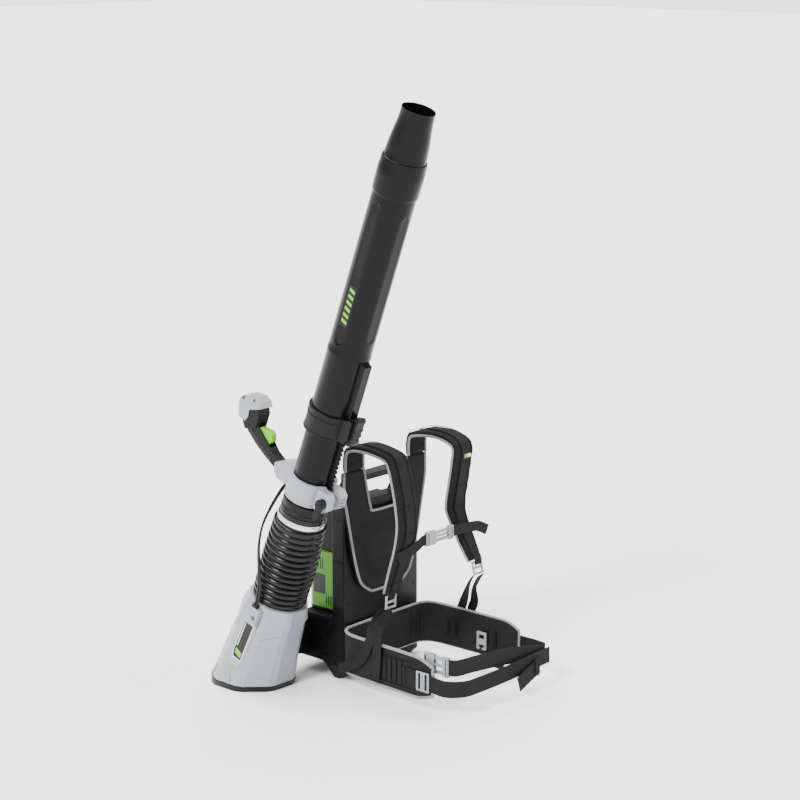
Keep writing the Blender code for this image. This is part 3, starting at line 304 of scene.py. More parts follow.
def refine(node, look, bevel=0.0008, segments=2):
    """The CAD node's own shape as a piece, with clean flat faces, rounded edges and its finish."""
    source = frame["nodes"][node]
    bm = bmesh.new()
    bm.from_mesh(source.data)
    bmesh.ops.remove_doubles(bm, verts=bm.verts, dist=2e-6)
    flat = math.radians(0.8)
    bmesh.ops.dissolve_limit(bm, angle_limit=flat, verts=bm.verts, edges=bm.edges)
    mesh = bpy.data.meshes.new(node)
    bm.to_mesh(mesh)
    bm.free()
    mesh.shade_smooth()
    mesh.set_sharp_from_angle(angle=math.radians(BEVEL_ANGLE))
    mesh.materials.append(LOOK[look])
    obj = bpy.data.objects.new(f"{node}_shown", mesh)
    bpy.context.scene.collection.objects.link(obj)
    soften(obj, bevel, segments)
    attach(obj, source["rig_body"])
    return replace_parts(obj, node)


def swept(sections, closed=False):
    """A closed body through the sections, capped at both ends or joined end to end."""
    count = len(sections[0])
    points = [p for section in sections for p in section]
    faces = []
    for i in range(len(sections) if closed else len(sections) - 1):
        a = i * count
        b = (i + 1) % len(sections) * count
        for j in range(count):
            k = (j + 1) % count
            faces.append((a + j, a + k, b + k, b + j))
    if not closed:
        faces.append(tuple(reversed(range(count))))
        faces.append(tuple(range(len(points) - count, len(points))))
    return points, faces


def box(low, high):
    (x0, y0, z0), (x1, y1, z1) = low, high
    return swept([[(x0, y0, z), (x1, y0, z), (x1, y1, z), (x0, y1, z)] for z in (z0, z1)])


def prism_x(outline, x0, x1):
    return swept([[(x, y, z) for y, z in outline] for x in (x0, x1)])


def prism_y(outline, y0, y1):
    return swept([[(x, y, z) for x, z in outline] for y in (y0, y1)])


def turned(profile, steps=ROUND):
    """A closed (radius, height) outline turned round Z."""
    points = []
    index = {}
    for row, (radius, height) in enumerate(profile):
        for step in range(steps):
            angle = 2 * math.pi * step / steps
            if radius == 0 and step:
                index[row, step] = index[row, 0]
                continue
            index[row, step] = len(points)
            points.append((radius * math.cos(angle), radius * math.sin(angle), height))
    faces = []
    for row in range(len(profile)):
        after = (row + 1) % len(profile)
        if profile[row][0] == 0 and profile[after][0] == 0:
            continue
        for step in range(steps):
            turn = (step + 1) % steps
            corners = (index[row, step], index[row, turn], index[after, turn], index[after, step])
            faces.append(tuple(dict.fromkeys(corners)))
    return points, faces


def moved(shape, matrix):
    points, faces = shape
    return [matrix @ Vector(p) for p in points], faces


def boomed(shape):
    return moved(shape, BOOM)


def boom(x, y, station):
    return BOOM @ Vector((x, y, station))


def smooth_path(knots, steps=PATH_STEPS):
    """Points on a Catmull-Rom curve through the knots."""
    knots = [Vector(k) for k in knots]
    ends = [2 * knots[0] - knots[1], *knots, 2 * knots[-1] - knots[-2]]
    path = []
    for a, b, c, d in zip(ends, ends[1:], ends[2:], ends[3:]):
        for step in range(steps):
            t = step / steps
            cubic = (3 * b - a - 3 * c + d) * t**3
            path.append(0.5 * (2 * b + (c - a) * t + (2 * a - 5 * b + 4 * c - d) * t**2 + cubic))
    return [*path, knots[-1]]


def ribbon(path, width, thickness, across=None, facing=None, lift=0.0):
    """(shape, uvs) of a flat band. The UV map is in metres: across, then along."""
    last = len(path) - 1
    sections = []
    uvs = []
    along = 0.0
    for i, point in enumerate(path):
        ahead = (path[min(i + 1, last)] - path[max(i - 1, 0)]).normalized()
        side = Vector(across) if across else Vector(facing(i / last)).cross(ahead)
        side = (side - ahead * side.dot(ahead)).normalized()
        wide = width(i / last) if callable(width) else width
        half = side * wide / 2
        deep = side.cross(ahead)
        centre = point + deep * lift
        deep = deep * thickness / 2
        corners = ((-half, -deep), (half, -deep), (half, deep), (-half, deep))
        sections.append([centre + a + b for a, b in corners])
        along += (point - path[i - 1]).length if i else 0.0
        uvs += [(-wide / 2, along), (wide / 2, along), (wide / 2, along), (-wide / 2, along)]
    return swept(sections), uvs


def pipe(path, radius, sides=12):
    """A round bead along the path, turned as little as possible on the way."""
    last = len(path) - 1
    normal = None
    sections = []
    for i, point in enumerate(path):
        ahead = (path[min(i + 1, last)] - path[max(i - 1, 0)]).normalized()
        if normal is None:
            normal = ahead.orthogonal().normalized()
        normal = (normal - ahead * normal.dot(ahead)).normalized()
        other = ahead.cross(normal)
        turns = [2 * math.pi * k / sides for k in range(sides)]
        sections.append([point + radius * (normal * math.cos(a) + other * math.sin(a)) for a in turns])
    return swept(sections)


def screw(name, at, normal, radius, body, look="dark_steel"):
    """A round-headed screw with a hexagonal socket."""
    turn = Vector((0, 0, 1)).rotation_difference(Vector(normal).normalized()).to_matrix().to_4x4()
    place = Matrix.Translation(at) @ turn
    head = [(0, -0.002), (radius, -0.002), (radius, 0.0004), (radius * 0.8, 0.0012), (0, 0.0012)]
    socket = [(0, 0.0), (radius * 0.5, 0.0), (radius * 0.5, 0.01), (0, 0.01)]
    obj = mesh_object(name, moved(turned(head, 24), place), look)
    carve(obj, moved(turned(socket, 6), place))
    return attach(obj, body)


# ---------------------------------------------------------------- soft goods
def near(points, lines, reach):
    """Which points lie within reach of any point of the lines."""
    marks = np.array([tuple(p) for line in lines for p in line])
    found = np.zeros(len(points), bool)
    for start in range(0, len(points), 2000):
        gap = points[start:start + 2000, None, :] - marks[None, :, :]
        found[start:start + 2000] = (np.einsum("ijk,ijk->ij", gap, gap) < reach**2).any(1)
    return found


def soft(name, shape, seams, cap, node, look="fabric"):
    """Foam in a sewn cover: the closed shape swells between its seams, each point by at most cap."""
    obj = mesh_object(name, shape, look, smooth=180)
    bpy.ops.object.select_all(action="DESELECT")
    bpy.context.view_layer.objects.active = obj
    obj.select_set(True)
    obj.data.remesh_voxel_size = VOXEL
    bpy.ops.object.voxel_remesh()
    count = len(obj.data.vertices)
    start = np.zeros(count * 3)
    obj.data.vertices.foreach_get("co", start)
    start = start.reshape(-1, 3)
    group = obj.vertex_groups.new(name="sewn")
    group.add([int(i) for i in np.flatnonzero(near(start, seams, SEAM_REACH))], 1.0, "REPLACE")
    cloth = obj.modifiers.new("cloth", "CLOTH")
    cloth.settings.use_pressure = True
    cloth.settings.uniform_pressure_force = FOAM_PRESSURE
    cloth.settings.effector_weights.gravity = 0.0
    cloth.settings.quality = 4
    cloth.settings.vertex_group_mass = "sewn"
    for number in range(1, FOAM_FRAMES + 1):
        bpy.context.scene.frame_set(number)
    swollen = obj.evaluated_get(bpy.context.evaluated_depsgraph_get())
    end = np.zeros(count * 3)
    swollen.to_mesh().vertices.foreach_get("co", end)
    swollen.to_mesh_clear()
    obj.modifiers.remove(cloth)
    bpy.context.scene.frame_set(1)
    shift = end.reshape(-1, 3) - start
    size = np.maximum(np.linalg.norm(shift, axis=1, keepdims=True), 1e-9)
    start += shift * np.minimum(1.0, cap / size)
    obj.data.vertices.foreach_set("co", start.reshape(-1))
    obj.vertex_groups.remove(group)
    obj.data.update()
    obj.data.shade_smooth()
    step = obj.modifiers.new("fine", "SUBSURF")
    step.levels = 1
    step.render_levels = 1
    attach(obj, "frame")
    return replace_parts(obj, node)


def band(name, knots, width, thickness=WEBBING, node=None, **where):
    """Flat webbing on the frame along the knots; where says how its flat lies."""
    shape, uvs = ribbon(smooth_path(knots), width, thickness, **where)
    stands_for = (node,) if node else ()
    return piece(name, shape, "webbing", "frame", stands_for, bevel=0.0004, smooth=50, uvs=uvs)


def stretched(name, shape, look, bodies, start, end, node, bevel=0.0, smooth=60, uvs=None):
    """A piece baked in place in world space that stands for the node; bodies, start and end are not used."""
    obj = mesh_object(name, shape, look, smooth, uvs)
    if bevel:
        soften(obj, bevel)
    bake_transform(obj)
    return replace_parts(obj, node)


def shared_band(node, knots, width, body, start, end):
    """Webbing from a buckle half that moves back to the frame."""
    shape, uvs = ribbon(smooth_path(knots), width, WEBBING, across=UP)
    bodies = (body, "frame")
    stretched(f"{node}_band", shape, "webbing", bodies, start, end, node, 0.0004, 50, uvs)


def bead(name, path, radius=PIPING, look="piping"):
    return piece(name, pipe(path, radius), look, "frame", smooth=60)


# ---------------------------------------------------------------- fan unit
HOUSING_FOOT = 0.0125
HOUSING_BASE_RADIUS = 0.0885
HOUSING_TAPER = 0.092
SHOULDER = 0.212
HOUSING_TOP = 0.238
HOUSING_TOP_RADIUS = 0.064
HOUSING_WALL = 0.003
HOUSING_SKEW = 0.04
FACETS = 8
FACET_HALF_ANGLE = math.radians(17)
RIDGE_AWAY = (17, 28, 62, 73, 107, 118, 180)
RIDGE_STATION = (0.152, 0.16, 0.181, 0.189, 0.204, 0.206, 0.206)
RIDGE_PROUD = 0.0034


def facet_angles():
    step = 2 * math.pi / FACETS
    return [k * step + end * FACET_HALF_ANGLE for k in range(FACETS) for end in (-1, 1)]


def facet_radius(angle, apothem):
    step = 2 * math.pi / FACETS
    return apothem / math.cos((angle + step / 2) % step - step / 2)


def housing_apothem(station):
    if station <= SHOULDER:
        return HOUSING_BASE_RADIUS - HOUSING_TAPER * max(station, 0.0)
    low = HOUSING_BASE_RADIUS - HOUSING_TAPER * SHOULDER
    share = (station - SHOULDER) / (HOUSING_TOP - SHOULDER)
    return low + (HOUSING_TOP_RADIUS - low) * share


def on_shell(angle, radius, station):
    drift = HOUSING_SKEW * (HOUSING_TOP - station)
    return (radius * math.cos(angle), radius * math.sin(angle) + drift, station)


def at_height(angle, radius, height):
    """The point of the housing at this angle and radius that lies on the level plane at this height."""
    rear = radius * math.sin(angle) + HOUSING_SKEW * HOUSING_TOP
    rise = height - BOOM_FOOT.z - rear * math.sin(LEAN)
    return on_shell(angle, radius, rise / (math.cos(LEAN) - HOUSING_SKEW * math.sin(LEAN)))


def housing_section(angle, shift):
    """The wall at one angle, with the raised upper part above a line that climbs away from the badge."""
    away = abs(math.degrees(angle) % 360 - 180)
    line = float(np.interp(away, RIDGE_AWAY, RIDGE_STATION))
    proud = float(np.interp(away, RIDGE_AWAY[:2], (0.0, RIDGE_PROUD)))

    def wall(station, inset):
        return on_shell(angle, facet_radius(angle, housing_apothem(station)) - inset, station)

    foot = facet_radius(angle, HOUSING_BASE_RADIUS)
    section = [at_height(angle, foot, HOUSING_FOOT), wall(0.11, 0), wall(line, 0)]
    section += [wall(line + 0.003, -proud), wall(SHOULDER, -proud), wall(HOUSING_TOP, -proud * 0.4)]
    section += [on_shell(angle, 0.056, station) for station in (HOUSING_TOP, HOUSING_TOP - 0.003)]
    section += [wall(station, HOUSING_WALL) for station in (SHOULDER - 0.002, 0.11)]
    section.append(at_height(angle, foot - HOUSING_WALL, HOUSING_FOOT))
    return [(x, y + shift, z) for x, y, z in section]


def on_facet(turn, outline, low, high):
    """A plate on the facet that looks along turn, from low to high above it.

    The outline's points are (aside, station).
    """
    def place(aside, station, out):
        reach = housing_apothem(station) + out
        drift = HOUSING_SKEW * (HOUSING_TOP - station)
        x = reach * math.cos(turn) + aside * math.sin(turn)
        y = reach * math.sin(turn) - aside * math.cos(turn)
        return (x, y + drift, station)
    return swept([[place(a, s, out) for a, s in outline] for out in (low, high)])


def fan_housing():
    angles = facet_angles()
    rear = [0.0, *[a for a in angles if 0 < a < math.pi], math.pi]
    front = [a + math.pi for a in rear]
    outer, slanted, far = [math.radians(turn) for turn in (180, 225, 135)]
    # The chevron below the badge is a thin darker grey piece: painted shade standing in for a recessed V.
    painted_shade_chevron = [(-0.015, 0.066), (0, 0.057), (0.015, 0.066), (0.015, 0.056), (0, 0.045), (-0.015, 0.056)]
    # The dimple is a small dark disc: painted shade standing in for a shallow hole.
    painted_shade_dimple = [(0.0032 * math.cos(a / 6), 0.104 + 0.0032 * math.sin(a / 6)) for a in range(38)]
    for name, half, side in (("fan_housing_rear", rear, 1), ("fan_housing_front", front, -1)):
        sections = [housing_section(a, side * 0.00025) for a in half]
        obj = mesh_object(f"{name}_shell", boomed(swept(sections)), "grey", smooth=20)
        soften(obj, 0.0011, 3, 16)
        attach(obj, "frame")
        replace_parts(obj, name)
    panel = [(-0.0205, 0.2), (0.0205, 0.2), (0.0205, 0.088)]
    panel += [(0.0105, 0.07), (-0.0105, 0.07), (-0.0205, 0.088)]
    badge = [(-0.0135, 0.184), (-0.0105, 0.19), (0.0135, 0.19)]
    badge += [(0.0135, 0.104), (0.0098, 0.093), (-0.0135, 0.093)]
    bar = [(-0.0105, 0.098), (0.0085, 0.104), (0.0085, 0.116), (-0.0105, 0.11)]
    rule = [(0.0075, 0.122), (0.0098, 0.1225), (0.0098, 0.182), (0.0075, 0.182)]
    rim = [(-0.0153, 0.1925), (0.0153, 0.1925), (0.0153, 0.102), (0.0108, 0.0905), (-0.0153, 0.0905)]
    for name, outline, low, high, look, bevel in (
        ("badge_panel", panel, -0.001, 0.0022, "grey", 0.0014),
        # painted shade: a darker grey V in place of the recess's shadow
        ("badge_chevron_painted_shade", painted_shade_chevron, -0.001, 0.0006, "buckle", 0.0003),
        ("badge_rim", rim, 0.0, 0.0027, "pale", 0.0003),
        ("badge_plate", badge, 0.0, 0.0031, "label", 0.0004),
        ("badge_bar", bar, 0.002, 0.0034, "lime", 0.0001),
        ("badge_rule", rule, 0.002, 0.0034, "pale", 0.0001),
    ):
        piece(name, boomed(on_facet(outer, outline, low, high)), look, "frame", bevel=bevel)
    tabs = ((outer, 0.026, 0.043), (slanted, 0.05, 0.066), (far, 0.012, 0.026))
    for k, (turn, low, high) in enumerate(tabs):
        tab = [(-0.0095, low), (0.0095, low), (0.006, high), (-0.006, high)]
        piece(f"rim_tab_{k}", boomed(on_facet(turn, tab, -0.001, 0.0042)), "grey", "frame", bevel=0.0012)
    # A dark disc on the slanted facet: painted shade in place of the dimple's hollow.
    piece("rim_dimple_painted_shade", boomed(on_facet(slanted, painted_shade_dimple, -0.001, 0.0003)), "label", "frame")
    refine("cable_boss", "grey", 0.0016, 3)
    refine("base_lip", "rubber", 0.0008)
    refine("cable_gland", "rubber", 0.0006)
    screw("boss_screw", boom(-0.0838, -0.012, 0.2105), -ACROSS, 0.005, "frame")


def carried_over():
    """CAD nodes whose own shape shows, with a better finish."""
    looks = {
        "intake_grille": "black", "fan_duct": "black", "motor": "aluminium", "tail_cone": "black",
        "motor_shaft": "steel", "impeller": "black", "controller_board": "board",
    }
    for name, look in looks.items():
        mesh = frame["nodes"][name].data
        mesh.materials.clear()
        mesh.materials.append(LOOK[look])


# ---------------------------------------------------------------- hose and cables
HOSE_START = 0.2386
HOSE_MIDDLE_START = 0.3675
HOSE_MIDDLE_END = 0.383
HOSE_SLEEVE = 0.4405
HOSE_END = 0.468
HOSE_WALL = 0.0535
HOSE_VALLEY = 0.0572
BEND_LOW = (("frame", "hose_middle"), boom(0, 0, HOSE_START + 0.004), boom(0, 0, HOSE_MIDDLE_START))
BEND_HIGH = (("hose_middle", "tube"), boom(0, 0, HOSE_MIDDLE_END), boom(0, 0, HOSE_SLEEVE))
CABLE = 0.0026
CABLE_ASIDE = 0.0031
CABLE_LEAVES = 0.245
CABLE_SPLIT = 0.375


def rib_radius(station):
    return 0.0632 - 0.3 * (station - 0.325) ** 2


def pleats(start, end, ribs, sleeve=False):
    """Rounded pleats with tight valleys, and the plain sleeve under the band."""
    pitch = (end - start) / ribs
    profile = []
    for rib in range(ribs):
        crown = rib_radius(start + (rib + 0.5) * pitch)
        for step in range(12):
            share = step / 12
            swell = math.sin(math.pi * share) ** 0.62
            profile.append((HOSE_VALLEY + (crown - HOSE_VALLEY) * swell, start + (rib + share) * pitch))
    profile.append((HOSE_VALLEY, end))
    if sleeve:
        profile[-1] = (0.0528, end)
        profile += [(0.0522, end + 0.003), (0.0522, HOSE_END), (0.0497, HOSE_END), (0.0497, end + 0.002)]
        profile.append((HOSE_WALL, end - 0.004))
    else:
        profile.append((HOSE_WALL, end))
    profile.append((HOSE_WALL, start))
    return turned(profile)


def hose():
    low = boomed(pleats(HOSE_START, HOSE_MIDDLE_START, 9))
    stretched("hose_lower_pleats", low, "rubber", *BEND_LOW, "hose_lower")
    middle = boomed(pleats(HOSE_MIDDLE_START, HOSE_MIDDLE_END, 1))
    piece("hose_middle_pleat", middle, "rubber", "hose_middle", ("hose_middle",), smooth=60)
    high = boomed(pleats(HOSE_MIDDLE_END, HOSE_SLEEVE, 4, sleeve=True))
    stretched("hose_upper_pleats", high, "rubber", *BEND_HIGH, "hose_upper")


def cables():
    """Two sheathed cables; each is one length in two pieces that meet at the middle pleat."""
    route = [(-0.0717, 0.0, 0.234), (-0.0712, 0.0, 0.242), (-0.0705, 0.001, 0.25)]
    route += [(-0.0692, 0.006, 0.28), (-0.0662, 0.024, 0.317), (-0.0582, 0.048, 0.36)]
    route += [(-0.044, 0.0645, 0.4), (-0.024, 0.0712, 0.44), (-0.009, 0.0705, 0.475)]
    route += [(0.0, 0.067, 0.501), (0.0, 0.0665, 0.54)]
    path = smooth_path(route, 10)
    split = min(range(len(path)), key=lambda i: abs(path[i].z - CABLE_SPLIT))
    bodies, _, middle = BEND_LOW
    bend_low = (bodies, boom(0, 0, CABLE_LEAVES), middle)
    for name, offset in (("front", -CABLE_ASIDE), ("rear", CABLE_ASIDE)):
        points = []
        for i, point in enumerate(path):
            ahead = path[min(i + 1, len(path) - 1)] - path[max(i - 1, 0)]
            aside = Vector((point.x, point.y, 0)).cross(ahead).normalized()
            points.append(BOOM @ (point + aside * offset))
        node = f"control_cable_{name}"
        stretched(f"cable_{name}_low", pipe(points[:split + 1], CABLE), "sheath", *bend_low, node)
        stretched(f"cable_{name}_high", pipe(points[split:], CABLE), "sheath", *BEND_HIGH, node)


# ---------------------------------------------------------------- blow tube
REAR_TUBE = (0.0423, 0.0445, 0.456, 0.84)
RAIL = (0.501, 0.768, 0.011)
FRONT_TUBE_START = 0.6735
CHANNEL_END = 0.855
FRONT_TUBE_END = 1.285
NOZZLE_BOTTOM = 1.229
NOZZLE_TIP = 1.414
FLAT = 0.0449           # from the tube's axis to its flat side panels


def open_ring(bore, radius, bottom, top, half_gap, edge=0.0008):
    """A ring with chamfered edges and a gap at the front of the tube."""
    start = -math.pi / 2 + half_gap
    turn = 2 * math.pi - 2 * half_gap
    wall = [(bore, bottom), (radius - edge, bottom), (radius, bottom + edge), (radius, top - edge)]
    wall += [(radius - edge, top), (bore, top)]
    angles = [start + turn * k / ROUND for k in range(ROUND + 1)]
    return swept([[(r * math.cos(a), r * math.sin(a), z) for r, z in wall] for a in angles])


def lips(name, bore, radius, spans, half_gap, look, body, bevel):
    """Raised rims round a clamp ring."""
    for k, (low, high) in enumerate(spans):
        ring = boomed(open_ring(bore, radius, low, high, math.radians(half_gap)))
        piece(f"{name}_{k}", ring, look, body, bevel=bevel)


def rear_tube():
    bore, radius, start, end = REAR_TUBE
    wall = [(bore, start), (radius, start), (radius, end), (bore, end)]
    piece("rear_tube_pipe", boomed(turned(wall)), "tube", "tube", ("rear_tube",), bevel=0.0005)
    teeth = []
    foot, top, pitch = RAIL
    count = int((top - foot) / pitch)
    for tooth in range(count):
        z = foot + tooth * pitch
        teeth += [(-0.0525, z), (-0.056, z + 0.0015), (-0.056, z + 0.0075), (-0.0525, z + 0.009)]
    teeth += [(-0.0435, foot + count * pitch), (-0.0435, foot)]
    piece("rear_tube_rail", boomed(prism_x(teeth, -0.0045, 0.0045)), "tube", "tube", bevel=0.0004)


def cuff_and_band():
    cuff = [(0.0449, 0.4425), (0.0491, 0.4425), (0.0491, HOSE_END + 0.0006), (0.0527, HOSE_END + 0.0018)]
    cuff += [(0.0527, 0.4775), (0.0516, 0.479), (0.0516, 0.487), (0.0524, 0.4885), (0.0524, 0.497)]
    cuff += [(0.0515, 0.4985), (0.0449, 0.4985)]
    piece("hose_cuff_ring", boomed(turned(cuff)), "black", "tube", ("hose_cuff",), bevel=0.0005)
    band_wall = [(0.0525, 0.445), (0.054, 0.445), (0.0543, 0.4462), (0.054, 0.4474), (0.0534, 0.451)]
    band_wall += [(0.054, 0.4546), (0.0543, 0.4558), (0.054, 0.457), (0.0525, 0.457)]
    piece("hose_band_ring", boomed(turned(band_wall)), "steel", "tube", ("hose_band",), smooth=50)
    block = box((0.0532, -0.009, 0.4448), (0.0636, 0.009, 0.4572))
    piece("hose_band_screw_block", boomed(block), "steel", "tube", bevel=0.0016)
    overlap = open_ring(0.0538, 0.0552, 0.4446, 0.4574, math.radians(168))
    twist = Matrix.Rotation(math.radians(68), 4, "Z")
    piece("hose_band_overlap", boomed(moved(overlap, twist)), "steel", "tube", bevel=0.0004)
    facing = BOOM.to_3x3() @ Vector((0, -1, 0))
    screw("hose_band_screw", boom(0.059, -0.0095, 0.451), facing, 0.004, "tube", "steel")


def handle():
    refine("clamp_ring", "grey", 0.0011, 3)
    refine("clamp_bolt", "steel", 0.0004)
    refine("clamp_lever", "black", 0.0014, 3)
    spans = ((0.5032, 0.5062), (0.5528, 0.5558))
    lips("clamp_lip", 0.0515, 0.0538, spans, 36, "grey", "handle", 0.0003)
    refine("handle_grip", "black", 0.003, 4)
    refine("head_cover", "grey", 0.0026, 4)
    refine("trigger", "lime", 0.0016, 3)
    refine("power_button", "black", 0.0012, 3)
    pad = [(0.112, 0.525), (0.14, 0.5335), (0.172, 0.546), (0.198, 0.56), (0.196, 0.57)]
    pad += [(0.174, 0.559), (0.156, 0.548), (0.118, 0.533)]
    screws = (
        ("head_screw_low", (0.0199, 0.232, 0.627), 0.0042),
        ("head_screw_high", (0.0199, 0.2, 0.6365), 0.0034),
        ("grip_screw", (0.0124, 0.1235, 0.542), 0.0036),
    )
    for side in (-1, 1):
        for name, (wide, y, station), radius in screws:
            screw(f"{name}_{side + 1}", boom(side * wide, y, station), side * ACROSS, radius, "handle")
        inside, outside = sorted((side * 0.0118, side * 0.0133))
        piece(f"grip_pad_{side + 1}", boomed(prism_x(pad, inside, outside)), "rubber", "handle", bevel=0.001)
    ring = turned([(0.0065, -0.001), (0.0085, -0.001), (0.0085, 0.0006), (0.0065, 0.0006)], 48)
    place = BOOM @ Matrix.Translation((0.02, 0.195, 0.598)) @ Matrix.Rotation(math.pi / 2, 4, "Y")
    piece("button_bezel", moved(ring, place), "panel", "handle", bevel=0.0003)


def tube_angles():
    """Evenly spaced angles, with close pairs at the walls of the rail channel."""
    front = -math.pi / 2
    walls = [front + math.radians(d) for d in (-13.5, -10.5, -5, 0, 5, 10.5, 13.5)]
    start = math.radians(17)
    count = 120
    return walls + [front + start + (2 * math.pi - 2 * start) * k / count for k in range(count + 1)]


def away_from(angle, centre):
    return abs((angle - centre + math.pi) % (2 * math.pi) - math.pi)


def channel_radius(angle, base, raised):
    away = away_from(angle, -math.pi / 2)
    return raised / math.cos(away) if raised > base and away < math.radians(12) else base


def panel_radius(angle, station, base):
    """The tube's radius where long flat panels with pointed ends are let into its four sides."""
    for quarter in range(4):
        centre = math.pi * quarter / 2
        start, end = ((0.885, 1.214), (0.905, 1.196))[quarter % 2]
        away = away_from(angle, centre)
        limit = math.radians(19) * min(1.0, max(0.0, min(station - start, end - station) / 0.014))
        if away < limit:
            return min(base, FLAT / math.cos(away))
    return base


def front_tube():
    outer = [(FRONT_TUBE_START, 0.0475, 0.0605), (CHANNEL_END, 0.0475, 0.0605)]
    outer += [(CHANNEL_END + rise, 0.0482, 0.0482) for rise in (0.006, 0.012)]
    outer.append((CHANNEL_END + 0.014, 0.0474, 0.0474))
    plain = [0.8849, 0.8851, 0.889, 0.893, 0.899, 0.9049, 0.9051, 0.909, 0.913, 0.919]
    plain += [1.18 + 0.0025 * k for k in range(15)]
    outer += [(s, 0.0474 - 0.0008 * (s - 0.86) / 0.43, 0.0) for s in plain]
    outer.append((FRONT_TUBE_END, 0.046, 0.0))
    inner = [(FRONT_TUBE_END, 0.0435, 0.0), (0.93, 0.0436, 0.0), (0.925, 0.0448, 0.0)]
    inner += [(CHANNEL_END - 0.002, 0.045, 0.045), (CHANNEL_END - 0.003, 0.045, 0.058)]
    inner.append((FRONT_TUBE_START, 0.045, 0.058))

    def point(angle, station, base, raised, outside):
        radius = channel_radius(angle, base, raised)
        if outside and station > 0.88:
            radius = panel_radius(angle, station, base)
        return (radius * math.cos(angle), radius * math.sin(angle), station)

    sections = []
    for angle in tube_angles():
        rows = [point(angle, s, base, raised, True) for s, base, raised in outer]
        rows += [point(angle, s, base, raised, False) for s, base, raised in inner]
        sections.append(rows)
    shell = boomed(swept(sections, closed=True))
    piece("front_tube_shell", shell, "tube", "front", ("front_tube",), smooth=24)
    for name, low, high, half, look, out in (
        ("stripe_plate", 0.93, 1.022, 0.0105, "panel", 0.0458),
        ("long_recess_rear", 1.045, 1.185, 0.008, "black", 0.0453),
    ):
        outline = [(-half, low), (half, low), (half, high), (-half, high)]
        piece(name, boomed(prism_x(outline, -0.044, -out)), look, "front", bevel=0.0008)
    for k in range(6):
        low = 0.936 + 0.014 * k
        bar = [(-0.0075, low), (0.0075, low + 0.004), (0.0075, low + 0.0105), (-0.0075, low + 0.0065)]
        piece(f"stripe_{k}", boomed(prism_x(bar, -0.045, -0.0461)), "lime", "front", bevel=0.0002)


def collar_and_nozzle():
    refine("tube_collar", "black", 0.0012, 3)
    spans = ((0.6722, 0.6765), (0.71, 0.7125), (0.7225, 0.7268))
    lips("collar_lip", 0.0514, 0.0534, spans, 31, "black", "front", 0.0004)
    refine("collar_latch", "black", 0.0012, 3)
    outer = [(0.0465, NOZZLE_BOTTOM), (0.0478, NOZZLE_BOTTOM), (0.049, NOZZLE_BOTTOM + 0.003)]
    outer += [(0.0494, NOZZLE_BOTTOM + 0.008), (0.0496, 1.27), (0.0495, 1.286), (0.0485, 1.289)]
    outer += [(0.0485, 1.303), (0.0474, 1.3075), (0.045, 1.3085), (0.0446, 1.3095), (0.044, 1.325)]
    outer += [(0.0429, 1.338), (0.0415, 1.35), (0.0397, 1.364), (0.0378, 1.378)]
    outer += [(0.0365, 1.389), (0.0358, 1.4), (0.0358, NOZZLE_TIP)]
    inner = [(0.034, NOZZLE_TIP), (0.0338, 1.398), (0.0356, 1.376), (0.0392, 1.35), (0.0418, 1.322)]
    inner += [(0.043, FRONT_TUBE_END + 0.001), (0.0465, FRONT_TUBE_END + 0.001)]
    shell = boomed(turned(outer + inner))
    piece("nozzle_shell", shell, "tube", "nozzle", ("nozzle",), bevel=0.0004, smooth=24)


# ---------------------------------------------------------------- carrying frame
def carrying_frame():
    refine("back_frame", "black", 0.0022, 3)
    refine("base_block", "black", 0.0022, 3)
    refine("fan_bracket", "black", 0.0016, 3)
    refine("rear_panel", "panel", 0.0012)
    refine("controller_cover", "black", 0.004, 4)
    refine("battery_latch", "panel", 0.001, 3)
    front, rear = FRAME_FACE + 0.004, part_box("back_frame")[1].y - 0.004
    for side in (-1, 1):
        wide = sorted((side * (FRAME_SIDE - 0.001), side * (FRAME_SIDE + 0.0009)))
        for k, (low, high) in enumerate(((0.17, 0.273), (0.281, 0.372))):
            outline = [(front, low), (rear, low), (rear, high - 0.01), (rear - 0.008, high), (front, high)]
            piece(f"side_panel_{side + 1}_{k}", prism_x(outline, *wide), "panel", "frame", bevel=0.0008)
        facets = [[(-0.02, 0.06), (0.023, 0.058), (0.03, 0.098), (-0.004, 0.148), (-0.02, 0.148)]]
        facets.append([(0.025, 0.058), (0.078, 0.04), (0.078, 0.086), (0.032, 0.097)])
        facets.append([(0.03, 0.101), (0.078, 0.09), (0.078, 0.134), (0.012, 0.1345)])
        facets[-1] += [(0.005, 0.144), (0.0, 0.148)]
        for k, outline in enumerate(facets):
            piece(f"base_facet_{side + 1}_{k}", prism_x(outline, *wide), "black", "frame", bevel=0.0009)
        for k, z in enumerate((0.176, 0.292, 0.404)):
            at = (side * 0.112, FRAME_FACE - 0.0002, z)
            screw(f"frame_screw_{side + 1}_{k}", at, (0, -1, 0), 0.0032, "frame")
    for k in range(13):
        x = -0.108 + k * 0.018
        tooth = [(-0.03, 0.0165), (-0.0312, 0.0165), (-0.0312, 0.024), (-0.03, 0.0255)]
        piece(f"toe_tooth_{k}", prism_x(tooth, x - 0.005, x + 0.005), "black", "frame", bevel=0.0004)
    for k in range(5):
        low = 0.295 + k * 0.0095
        slot = box((-0.06, 0.105, low), (0.06, 0.1066, low + 0.0035))
        piece(f"cover_louvre_{k}", slot, "panel", "frame", bevel=0.0006)


